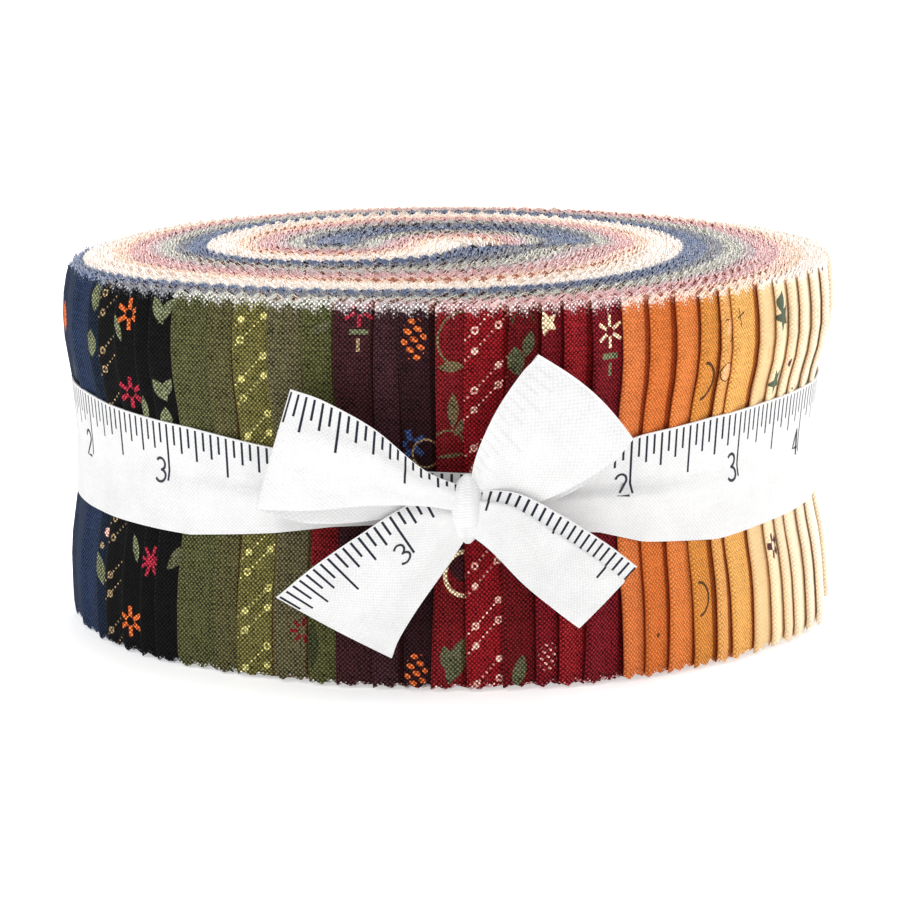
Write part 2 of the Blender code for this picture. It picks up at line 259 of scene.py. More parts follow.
# %% Strip sizes
PLY = 0.20 * MM
PLY_PITCH = BUNDLE / (2 * STRIP_COUNT)
TOOTH_PITCH = 3.0 * MM
TOOTH_DEPTH = 0.9 * MM
NOSE_PUFF = 0.55 * MM
NOSE_REACH = 3.4 * MM
NOSE_GAP = 0.05 * MM
NOSE_OVERHANG = 1.4
DRAW_REACH = 12 * MM
SHAPED_DEPTH = 4 * MM
SHAPED_ROWS = np.array([2.5, 6, 11, 15, 19, 23, 28, 33, 38, 42, 46, 50, 54, 58, 61]) * MM
BEND_STEP = math.radians(13)
NOSE_COLUMNS = np.array([0.0, 0.16, 0.32, 0.5, 0.8, 1.2, 1.7, 2.4, 3.2, 4.2]) * MM
EDGE_WANDER = 0.22 * MM
FOLD_WANDER = 0.35 * MM
WINDING_STEP = 1.0
INNERMOST = -320.0
BAND_MIDDLE = 33 * MM
BAND_REACH = 10.5 * MM
BAND_PRESS_SHARE = 0.75
STRIP_LENGTHS = np.interp(np.arange(STRIP_COUNT), (0, 6, 12, 34, 39), (1079, 1064, 1083, 1135, 1104)) * MM


def strip_path(strip):
    """The middle line of one strip, core to fold to core, cut to its real length, and where its fold is."""
    fold = fold_windings[strip]
    plies = []
    for ply in (1.5, 0.5):
        layer = (2 * strip + ply) / (2 * STRIP_COUNT)
        windings = np.append(np.arange(INNERMOST, fold - 0.3, WINDING_STEP), fold - 0.3)
        points = wound_point(windings, layer)
        steps = np.linalg.norm(np.diff(points, axis=0), axis=1)
        to_fold = np.append(np.cumsum(steps[::-1])[::-1], 0)
        swell = (NOSE_PUFF if ply > 1 else NOSE_GAP) * smooth_share(1 - to_fold / NOSE_REACH)
        points = points * (1 + swell / np.linalg.norm(points, axis=1))[:, None]
        plies.append(points)
    outer, inner = plies[0], plies[1][::-1]
    middle = (outer[-1] + inner[0]) / 2
    half = (outer[-1] - inner[0]) / 2
    ahead = outer[-1] - outer[-2]
    ahead = ahead / np.linalg.norm(ahead) * np.linalg.norm(half)
    turns = np.radians(np.arange(15, 180, 15))[:, None]
    nose = middle + half * np.cos(turns) + ahead * NOSE_OVERHANG * np.sin(turns)
    path = np.concatenate([outer, nose, inner])
    run = np.append(0, np.cumsum(np.linalg.norm(np.diff(path, axis=0), axis=1)))
    at_fold = run[len(outer) + len(turns) // 2]
    keep = np.abs(run - at_fold) < STRIP_LENGTHS[strip] / 2
    return path[keep], run[keep] - at_fold


# %% Columns along a strip
def strip_columns(run, path, phase):
    """Distances from the fold at which the sheet has points: tips, valleys, the fold and tight bends."""
    half_pitch = TOOTH_PITCH / 2
    first = math.ceil((run[0] - phase) / half_pitch)
    last = math.floor((run[-1] - phase) / half_pitch)
    marks = np.arange(first, last + 1) * half_pitch + phase
    marks = marks[np.abs(marks) > NOSE_COLUMNS[-1]]
    marks = np.sort(np.concatenate([marks, NOSE_COLUMNS, -NOSE_COLUMNS[1:], run[[0, -1]]]))
    heading = np.unwrap(np.arctan2(*np.gradient(path, run, axis=0).T[::-1]))
    turned = np.interp(marks, run, heading)
    found = [marks[:1]]
    for start, end, turn in zip(marks[:-1], marks[1:], np.abs(np.diff(turned))):
        parts = max(1, math.ceil(turn / BEND_STEP)) if abs(start) > NOSE_COLUMNS[-1] else 1
        found.append(np.linspace(start, end, parts + 1)[1:])
    columns = np.concatenate(found)
    return columns[np.append(True, np.diff(columns) > 0.04 * MM)]


def tooth(distance, phase):
    """How far the pinked edge is cut back at a distance along the strip."""
    share = (distance - phase) / TOOTH_PITCH
    return TOOTH_DEPTH * 2 * np.abs(share - np.floor(share + 0.5))


# %% One strip's mesh
def strip_mesh(strip, rng):
    """Points, faces, face kinds and flat places of one folded strip, and its upper edge line."""
    path, run = strip_path(strip)
    phases = rng.uniform(0, TOOTH_PITCH, 2)
    columns = strip_columns(run, path, phases[0])
    middle = np.stack([np.interp(columns, run, path[:, part]) for part in (0, 1)], axis=1)
    ways = np.gradient(path, run, axis=0)
    along = np.stack([np.interp(columns, run, ways[:, part]) for part in (0, 1)], axis=1)
    along /= np.linalg.norm(along, axis=1)[:, None]
    leftward = np.stack([-along[:, 1], along[:, 0]], axis=1)
    depth = depth_in(middle)
    angles = angle_of(middle)
    settle_high, settle_low = (rng.normal(0, EDGE_WANDER, 2 + len(columns) // 24) for _ in range(2))
    slow = np.linspace(0, len(settle_high) - 1, len(columns))
    high_edge = np.interp(slow, np.arange(len(settle_high)), settle_high) + rng.normal(0, 0.06 * MM, len(columns))
    low_edge = np.abs(np.interp(slow, np.arange(len(settle_low)), settle_low))
    lift = foot_lift(middle)
    tops = STRIP_WIDTH + top_lift(middle) - tooth(columns, phases[0]) + high_edge
    bottoms = lift + tooth(columns, phases[1]) + low_edge
    lean, bow = rng.normal(0, FOLD_WANDER, 2)
    outward_way = np.stack([middle[:, 1], -middle[:, 0]], axis=1) / np.linalg.norm(middle, axis=1)[:, None]
    swell = np.where(columns < 0, NOSE_PUFF, NOSE_GAP) * smooth_share(1 - np.abs(columns) / NOSE_REACH)
    near_fold = np.exp(-np.abs(columns) / (9 * MM))
    points, flat, index = [], [], []
    for column in range(len(columns)):
        heights = [bottoms[column], tops[column]]
        if depth[column] < SHAPED_DEPTH:
            heights = [bottoms[column], *(SHAPED_ROWS + lift[column]), tops[column]]
        heights = np.array(heights)
        level = np.clip(heights - lift[column], 0, STRIP_WIDTH)
        fade = max(0.0, 1 - max(depth[column], 0) / DRAW_REACH)
        share = level / STRIP_WIDTH * 2 - 1
        wander = (lean * share + bow * (1 - share**2)) * near_fold[column]
        pressed = swell[column] * BAND_PRESS_SHARE * np.exp(-((level - BAND_MIDDLE) / BAND_REACH) ** 4)
        place = middle[column] + outward_way[column] * wander[:, None]
        radius = np.linalg.norm(place, axis=1)
        place = place * (1 - (drawn_in(level, angles[column]) * fade + pressed) / radius)[:, None]
        rows = []
        for side in (1, -1):
            start = len(points)
            shifted = place + leftward[column] * side * PLY / 2
            points.extend(np.column_stack([shifted, heights]))
            flat.extend((-columns[column], height - lift[column]) for height in heights)
            rows.append(list(range(start, start + len(heights))))
        index.append(rows)
    faces, kinds = [], []
    for before, after in zip(index[:-1], index[1:]):
        for side, (one, other) in enumerate(zip(before, after)):
            if len(one) == len(other):
                strips = [(one[k], one[k + 1], other[k + 1], other[k]) for k in range(len(one) - 1)]
            else:
                strips = [(*one, *other[::-1])]
            faces += strips if side == 0 else [face[::-1] for face in strips]
            kinds += [side] * len(strips)
        (left, right), (next_left, next_right) = before, after
        faces.append((left[-1], right[-1], next_right[-1], next_left[-1]))
        faces.append((left[0], next_left[0], next_right[0], right[0]))
        kinds += [1, 1]
    faces.append((*index[0][0], *index[0][1][::-1]))
    faces.append((*index[-1][1], *index[-1][0][::-1]))
    kinds += [1, 1]
    edge = [(np.array(points[rows[0][-1]]) + points[rows[1][-1]]) / 2 for rows in index]
    return np.array(points), faces, kinds, np.array(flat), np.array(edge), phases


# %% [markdown]
# ## Yarn ends on the cut edge
# Zigzag cuts still leave short ends of yarn standing up, and they make the roll's top look dusted
# with paler colour. They repeat along a line, so Geometry Nodes lay them: the line is resampled,
# a thin cone is put at each point, tilted and sized at random, and everything is realised.

# %% The yarn-end nodes
def yarn_end_tree():
    tree = bpy.data.node_groups.new("yarn_ends", "GeometryNodeTree")
    sockets = {}
    for label, kind, value in (
        ("Geometry", "NodeSocketGeometry", None),
        ("Spacing", "NodeSocketFloat", 0.62 * MM),
        ("Length", "NodeSocketFloat", 0.8 * MM),
        ("Thickness", "NodeSocketFloat", 0.16 * MM),
        ("Seed", "NodeSocketInt", 0),
        ("Yarn", "NodeSocketMaterial", None),
    ):
        socket = tree.interface.new_socket(label, in_out="INPUT", socket_type=kind)
        if value is not None:
            socket.default_value = value
        sockets[label] = socket.identifier
    tree.interface.new_socket("Geometry", in_out="OUTPUT", socket_type="NodeSocketGeometry")

    def node(kind, values=(), **settings):
        made = tree.nodes.new(kind)
        for name, value in settings.items():
            setattr(made, name, value)
        for name, value in values:
            if isinstance(value, bpy.types.NodeSocket):
                tree.links.new(value, made.inputs[name])
            else:
                made.inputs[name].default_value = value
        return made

    given = node("NodeGroupInput").outputs
    line = node("GeometryNodeMeshToCurve", [("Mesh", given["Geometry"])]).outputs[0]
    spaced = node("GeometryNodeResampleCurve", [("Curve", line), ("Length", given["Spacing"])], mode="LENGTH")
    cone = node("GeometryNodeMeshCone", [
        ("Vertices", 3), ("Radius Top", 0.0), ("Radius Bottom", given["Thickness"]), ("Depth", given["Length"]),
    ], fill_type="NGON")
    sunk = node("GeometryNodeTransform", [("Geometry", cone.outputs["Mesh"]), ("Translation", (0, 0, -0.1 * MM))])

    def scatter(low, high, seed_shift):
        seed = node("ShaderNodeMath", [(0, given["Seed"]), (1, seed_shift)], operation="ADD").outputs[0]
        return node("FunctionNodeRandomValue", [("Min", low), ("Max", high), ("Seed", seed)],
                    data_type="FLOAT_VECTOR").outputs["Value"]

    moved = node("GeometryNodeSetPosition", [
        ("Geometry", spaced.outputs["Curve"]),
        ("Offset", scatter((-0.4 * MM, -0.12 * MM, -0.1 * MM), (0.4 * MM, 0.12 * MM, 0.05 * MM), 1)),
    ])
    ends = node("GeometryNodeInstanceOnPoints", [
        ("Points", moved.outputs[0]),
        ("Instance", sunk.outputs[0]),
        ("Rotation", scatter((-0.7, -0.7, 0.0), (0.7, 0.7, 6.28), 2)),
        ("Scale", scatter((0.6, 0.6, 0.35), (1.3, 1.3, 1.25), 3)),
    ])
    lightness = node("FunctionNodeRandomValue", [("Seed", given["Seed"])], data_type="FLOAT").outputs[1]
    shaded = node("GeometryNodeStoreNamedAttribute", [
        ("Geometry", ends.outputs[0]), ("Name", "yarn_shade"), ("Value", lightness),
    ], data_type="FLOAT", domain="INSTANCE")
    real = node("GeometryNodeRealizeInstances", [("Geometry", shaded.outputs[0])])
    painted = node("GeometryNodeSetMaterial", [("Geometry", real.outputs[0]), ("Material", given["Yarn"])])
    node("NodeGroupOutput", [("Geometry", painted.outputs[0])])
    return tree, sockets


def plain_mesh(name, obj):
    """The evaluated object as a plain mesh object of its own, and the source removed."""
    bpy.context.view_layer.update()
    evaluated = obj.evaluated_get(bpy.context.evaluated_depsgraph_get())
    mesh = bpy.data.meshes.new_from_object(evaluated)
    made = bpy.data.objects.new(name, mesh)
    bpy.context.scene.collection.objects.link(made)
    bpy.data.objects.remove(obj, do_unlink=True)
    return made


yarn_tree, yarn_inputs = yarn_end_tree()


def yarn_ends(name, edge, material, seed, **sizes):
    mesh = bpy.data.meshes.new(name + "_line")
    mesh.from_pydata(edge.tolist(), [(k, k + 1) for k in range(len(edge) - 1)], [])
    line = bpy.data.objects.new(name + "_line", mesh)
    bpy.context.scene.collection.objects.link(line)
    modifier = line.modifiers.new("yarn ends", "NODES")
    modifier.node_group = yarn_tree
    for label, value in {"Seed": seed, "Yarn": material, **sizes}.items():
        modifier[yarn_inputs[label]] = value
    return plain_mesh(name, line)


# %% [markdown]
# ## Arithmetic for prints
# A print is small shapes repeated over the flat cloth, so each cotton's material works in the
# strip's own flat places: distance from the fold, and height across the strip. A small class lets
# the shapes be written as plain arithmetic while it adds the Math nodes.

# %% A number in a node tree
class Number:
    """One value of a material's tree. Arithmetic on it adds Math nodes."""

    def __init__(self, tree, socket):
        self.tree, self.socket = tree, socket

    def math(self, operation, *others, clamp=False):
        node = self.tree.nodes.new("ShaderNodeMath")
        node.operation = operation
        node.use_clamp = clamp
        for place, value in enumerate((self, *others)):
            if isinstance(value, Number):
                self.tree.links.new(value.socket, node.inputs[place])
            else:
                node.inputs[place].default_value = value
        return Number(self.tree, node.outputs[0])

    def __add__(self, other):
        return self.math("ADD", other)

    def __sub__(self, other):
        return self.math("SUBTRACT", other)

    def __mul__(self, other):
        return self.math("MULTIPLY", other)

    def __truediv__(self, other):
        return self.math("DIVIDE", other)

    def __neg__(self):
        return self * -1

    def __abs__(self):
        return self.math("ABSOLUTE")

    def wrap(self, size):
        """Repeats the value about zero, once every size."""
        return self.math("WRAP", size / 2, -size / 2)

    def fill(self, soft=0.07 * MM):
        """1 where the value is above zero, with a soft border."""
        return (self / soft).math("ADD", 0.5, clamp=True)


def either(one, other):
    return one.math("MAXIMUM", other)


def both(one, other):
    return one.math("MULTIPLY", other)


def distance(x, y):
    return (x * x + y * y).math("SQRT")


def turned(x, y, degrees):
    c, s = math.cos(math.radians(degrees)), math.sin(math.radians(degrees))
    return x * c + y * s, y * c - x * s


# %% [markdown]
# ## Small motifs
# Quilting cottons carry ordinary little shapes: discs, rings, leaves, stems, dashes and rows of
# dots. Each is one function that gives 1 inside the shape and 0 outside. Sizes are in millimetres.

# %% Motif shapes
def disc(x, y, size=1.2):
    return (-(distance(x, y) - size / 2 * MM)).fill()


def ring(x, y, size=1.3, line=0.32):
    return (-(abs(distance(x, y) - (size - line) / 2 * MM) - line / 2 * MM)).fill()


def leaf(x, y, length=6.0, width=2.4, turn=90):
    x, y = turned(x, y, turn)
    share = x / (length / 2 * MM)
    return (-(abs(y) - (-(share * share) + 1) * (width / 2 * MM))).fill()


def dash(x, y, length=2.0, width=0.6, turn=90):
    x, y = turned(x, y, turn)
    return both((-(abs(x) - length / 2 * MM)).fill(), (-(abs(y) - width / 2 * MM)).fill())


def arc(x, y, size=8.0, line=0.45, turn=90):
    """Half a circle, as a curled stem."""
    _, above = turned(x, y, turn - 90)
    return both((-(abs(distance(x, y) - size / 2 * MM) - line / 2 * MM)).fill(), above.fill())


def petals(x, y, count=6, inner=0.8, outer=2.7, width=0.6, turn=30):
    """Dashes that stand round a middle, as in a simple daisy."""
    x, y = turned(x, y, turn)
    around = y.math("ARCTAN2", x).wrap(2 * math.pi / count)
    out = distance(x, y)
    middle, half = (inner + outer) / 2 * MM, (outer - inner) / 2 * MM
    long_enough = (-(abs(out - middle) - half)).fill()
    return both(long_enough, (-(abs(out * around.math("SINE")) - width / 2 * MM)).fill())


def star(x, y, size=3.4, turn=0):
    x, y = turned(x, y, turn + 90)
    around = y.math("ARCTAN2", x).wrap(2 * math.pi / 5)
    out = distance(x, y)
    lean = math.radians(54)
    reach = out * around.math("COSINE") * math.sin(lean / 2) + abs(out * around.math("SINE")) * math.cos(lean / 2)
    return (-(reach - size / 2 * math.sin(lean / 2) * MM)).fill()


def dotted_lines(x, y, apart=6.93, step=0.9, size=0.38, turn=45):
    """Rows of small dots on the slant."""
    along, across = turned(x, y, turn)
    return (-(distance(along.wrap(step * MM), across.wrap(apart * MM)) - size / 2 * MM)).fill()


def berries(x, y, wide=4.0, tall=7.0, step=1.7, size=1.1, turn=12):
    """Discs close together inside an oval."""
    inside = (-(distance(x / (wide / 2 * MM), y / (tall / 2 * MM)) - 1.0)).fill(0.02)
    one, other = turned(x, y, turn)
    skewed = one + other * 0.5
    spots = (-(distance(skewed.wrap(step * MM), other.wrap(step * 0.87 * MM)) - size / 2 * MM)).fill()
    return both(inside, spots)


MOTIFS = {
    "disc": disc, "ring": ring, "leaf": leaf, "dash": dash, "arc": arc, "petals": petals,
    "star": star, "dots": dotted_lines, "berries": berries,
}

# %% [markdown]
# ## Woven cotton
# Quilting cotton is a plain weave with about 26 yarns to the centimetre. Close up, each yarn catches
# light where it passes over the other, so the cloth looks finely dotted, and no two yarns are quite
# alike. One shared node group turns any colour into that cloth. It paints a highlight on each yarn
# top and shade in the gaps between them, adds each yarn's own tone and small flecks, and gives the
# height for its bump.

# %% The weave group
YARN_PITCH = 0.39 * MM


def linear(red, green, blue):
    """A colour read from paint values of 0 to 255, as linear light."""
    values = np.array([red, green, blue]) / 255
    return tuple(float(v) for v in np.where(values < 0.04, values / 12.9, ((values + 0.055) / 1.055) ** 2.4))


def noise(tree, vector, scale, detail=2.0, roughness=0.6):
    node = tree.nodes.new("ShaderNodeTexNoise")
    node.inputs["Scale"].default_value = scale
    node.inputs["Detail"].default_value = detail
    node.inputs["Roughness"].default_value = roughness
    tree.links.new(vector, node.inputs["Vector"])
    return Number(tree, node.outputs["Fac"])


def combined(x, y):
    node = x.tree.nodes.new("ShaderNodeCombineXYZ")
    x.tree.links.new(x.socket, node.inputs[0])
    x.tree.links.new(y.socket, node.inputs[1])
    return node.outputs[0]


def mixed(tree, share, first, second, blend="MIX"):
    """One colour over another, where share is a Number, and the colours are sockets or plain values."""
    node = tree.nodes.new("ShaderNodeMix")
    node.data_type = "RGBA"
    node.blend_type = blend
    for place, value in ((0, share.socket if isinstance(share, Number) else share), (6, first), (7, second)):
        if isinstance(value, bpy.types.NodeSocket):
            tree.links.new(value, node.inputs[place])
        elif place == 0:
            node.inputs[place].default_value = value
        else:
            node.inputs[place].default_value = (*value, 1.0)
    return node.outputs[2]


def weave_group(name, pitch, contrast):
    tree = bpy.data.node_groups.new(name, "ShaderNodeTree")
    for label, kind in (("Color", "NodeSocketColor"), ("U", "NodeSocketFloat"), ("V", "NodeSocketFloat")):
        tree.interface.new_socket(label, in_out="INPUT", socket_type=kind)
    for label, kind in (("Color", "NodeSocketColor"), ("Height", "NodeSocketFloat")):
        tree.interface.new_socket(label, in_out="OUTPUT", socket_type=kind)
    given = tree.nodes.new("NodeGroupInput").outputs
    plain_u, plain_v = Number(tree, given["U"]) / pitch, Number(tree, given["V"]) / pitch
    wander = noise(tree, combined(plain_u, plain_v), 0.35, 1.0) - 0.5
    u, v = plain_u + wander * 0.9, plain_v + wander * 0.7
    over = (u * math.pi).math("SINE") * (v * math.pi).math("SINE")
    warp = noise(tree, combined(u * 0.9, v * 0.07), 1.0)
    weft = noise(tree, combined(u * 0.07, v * 0.9), 1.0)
    mottle = noise(tree, combined(u, v), 0.06, 3.0)
    fleck = noise(tree, combined(u, v), 0.8, 1.0)
    # Painted highlight where each yarn passes over and painted shade in the gaps, mixed with the yarns' own tone, a
    # slow mottle and flecks of lint.
    tops = over * over - 0.25
    light = tops * contrast + over * contrast + (warp + weft - 1.0) * contrast
    light = (light + (mottle - 0.5) * 0.25 + (fleck - 0.5) * (contrast * 1.5) + 1.0).math("MAXIMUM", 0.12)
    shade = tree.nodes.new("ShaderNodeCombineColor")
    for place in range(3):
        tree.links.new(light.socket, shade.inputs[place])
    result = tree.nodes.new("NodeGroupOutput")
    tree.links.new(mixed(tree, 1.0, given["Color"], shade.outputs[0], "MULTIPLY"), result.inputs["Color"])
    height = abs(over) * 0.6 + over * 0.4 + (warp + weft) * 0.3
    tree.links.new(height.socket, result.inputs["Height"])
    return tree


cotton_weave = weave_group("cotton_weave", YARN_PITCH, 1.2)
warm_weave = weave_group("warm_weave", YARN_PITCH, 0.55)
pale_weave = weave_group("pale_weave", YARN_PITCH, 0.22)


# %% A cloth material
def cloth_shader(name, roughness, sheen):
    """A new material with its flat places as two Numbers, and its shader."""
    material = bpy.data.materials.new(name)
    material.use_nodes = True
    tree = material.node_tree
    shader = tree.nodes["Principled BSDF"]
    shader.inputs["Roughness"].default_value = roughness
    shader.inputs["Specular IOR Level"].default_value = 0.08
    shader.inputs["Sheen Weight"].default_value = sheen
    shader.inputs["Sheen Roughness"].default_value = 0.4
    flat = tree.nodes.new("ShaderNodeUVMap")
    flat.uv_map = "flat"
    parts = tree.nodes.new("ShaderNodeSeparateXYZ")
    tree.links.new(flat.outputs[0], parts.inputs[0])
    return material, Number(tree, parts.outputs[0]), Number(tree, parts.outputs[1]), shader


def weave_into(shader, group, colour, u, v, bump):
    tree = u.tree
    woven = tree.nodes.new("ShaderNodeGroup")
    woven.node_tree = group
    if isinstance(colour, bpy.types.NodeSocket):
        tree.links.new(colour, woven.inputs["Color"])
    else:
        woven.inputs["Color"].default_value = (*colour, 1.0)
    tree.links.new(u.socket, woven.inputs["U"])
    tree.links.new(v.socket, woven.inputs["V"])
    raised = tree.nodes.new("ShaderNodeBump")
    raised.inputs["Distance"].default_value = bump
    raised.inputs["Strength"].default_value = 0.6
    tree.links.new(woven.outputs["Height"], raised.inputs["Height"])
    tree.links.new(raised.outputs[0], shader.inputs["Normal"])
    tree.links.new(woven.outputs["Color"], shader.inputs["Base Color"])


FRAY_BAND = 1.0 * MM


def frayed(u, v, phases, uneven_by, reach):
    """1 at the pinked edges, where the yarns have lost their colour, falling to 0 a millimetre in."""
    slope = TOOTH_DEPTH / (TOOTH_PITCH / 2)
    from_top = -v - (u + phases[0]).math("PINGPONG", TOOTH_PITCH / 2) * slope + STRIP_WIDTH
    from_foot = v - (u + phases[1]).math("PINGPONG", TOOTH_PITCH / 2) * slope
    near = from_top.math("MINIMUM", from_foot * 1.6)
    uneven = noise(u.tree, combined(u * (0.9 / YARN_PITCH), v * (0.7 / YARN_PITCH)), 1.0) - 0.5
    return (-(near / FRAY_BAND) + uneven * uneven_by + reach).math("MULTIPLY", 1.0, clamp=True)


# Painted shade in the creases: how far it fades out, how dark it gets on deep and on pale cloth, and how much less
# red falls than green and blue.
PAINTED_SHADE_SOFT = 0.22 * MM
PAINTED_CREASE_SHADE = 0.62
PALE_PAINTED_CREASE_SHADE = 0.14
PAINTED_SHADE_POWERS = (0.6, 1.1, 1.3)


def creased(u, covered, colour, depth):
    """A colour darkened by painted shade in the creases: just behind the fold, and where the next strip's fold lies
    on it.
    """
    # 1 in the open, falling to painted shade just behind the fold and at the foot of the next strip's fold.
    open_left = (u / PAINTED_SHADE_SOFT).math("ADD", 1.2, clamp=True)
    open_right = ((-u + covered) / PAINTED_SHADE_SOFT).math("ADD", 0.2, clamp=True)
    light = open_left * open_right * depth + (1 - depth)
    shade = u.tree.nodes.new("ShaderNodeCombineColor")
    for place, power in enumerate(PAINTED_SHADE_POWERS):
        u.tree.links.new(light.math("POWER", power).socket, shade.inputs[place])
    return mixed(u.tree, 1.0, colour, shade.outputs[0], "MULTIPLY")


def printed_cotton(name, ground, pale, motifs, phases, covered, weave):
    """The printed side of one strip. Each motif row is shape, place in mm, colour and the shape's own sizes."""
    material, u, v, shader = cloth_shader(name, 0.9, 0.03)
    colour = linear(*ground)
    for shape, across, up, paint, sizes in motifs:
        sizes = dict(sizes)
        repeat = sizes.pop("repeat", PRINT_REPEAT)
        x, y = (u - across * MM).wrap(PRINT_CELL * MM), (v - up * MM).wrap(repeat * MM)
        colour = mixed(u.tree, MOTIFS[shape](x, y, **sizes), colour, linear(*PAINTS[paint]))
    colour = mixed(u.tree, frayed(u, v, phases, 7.0, 0.3) * 0.75, colour, pale)
    # Painted shade in the creases, lighter on pale cloth.
    colour = creased(u, covered, colour, PALE_PAINTED_CREASE_SHADE if weave == pale_weave else PAINTED_CREASE_SHADE)
    weave_into(shader, weave, colour, u, v, 0.08 * MM)
    return material


def plain_cotton(name, colour, pale, phases):
    """The reverse of a strip and its cut edges."""
    material, u, v, shader = cloth_shader(name, 0.95, 0.1)
    shade = mixed(u.tree, frayed(u, v, phases, 1.5, 1.0) * 0.9, colour, pale)
    weave_into(shader, pale_weave, shade, u, v, 0.05 * MM)
    return material


# %% [markdown]
# ## The forty prints
# The families run from navy in the middle to cream outside. Grounds are deep and even, and many
# strips have a sparse print that repeats along the cloth. Only the end of each strip shows at the
# front, so each row says what lies near its fold: millimetres from the fold, and height up the
# strip. These are common motifs, drawn from the functions above, in colours that go with the ground.

# %% Colours
PAINTS = {
    "sage": (108, 112, 84), "dark sage": (86, 86, 62), "grey green": (88, 98, 80), "cream": (232, 208, 170),
    "tan": (150, 128, 96), "rust": (206, 100, 48), "rose": (160, 40, 58), "blush": (222, 170, 156),
    "blue": (52, 72, 116), "straw": (190, 182, 112), "peach": (238, 176, 124), "plum": (92, 58, 60),
    "umber": (86, 54, 34), "olive": (106, 92, 66), "vine": (54, 58, 36), "wine": (112, 26, 30),
    "aubergine": (60, 28, 32), "slate": (58, 70, 72),
}

# %% The print table
ROW_REPEAT = 9.8


def slanted_rows(paint, low, first="ring", second="disc"):
    """Slanted rows of dots in pairs, each row with two small marks on it."""
    rows = [("dots", 0, low, paint, {"repeat": 1000}), ("dots", 0, low - 3.3, paint, {"repeat": 1000})]
    for lift, left, right in ((1.7, first, second), (-1.6, second, first)):
        rows.append((left, 1.7, low + lift, paint, {"repeat": ROW_REPEAT}))
        rows.append((right, 5.7, low + lift + 4.0, paint, {"repeat": ROW_REPEAT}))
    return tuple(rows)


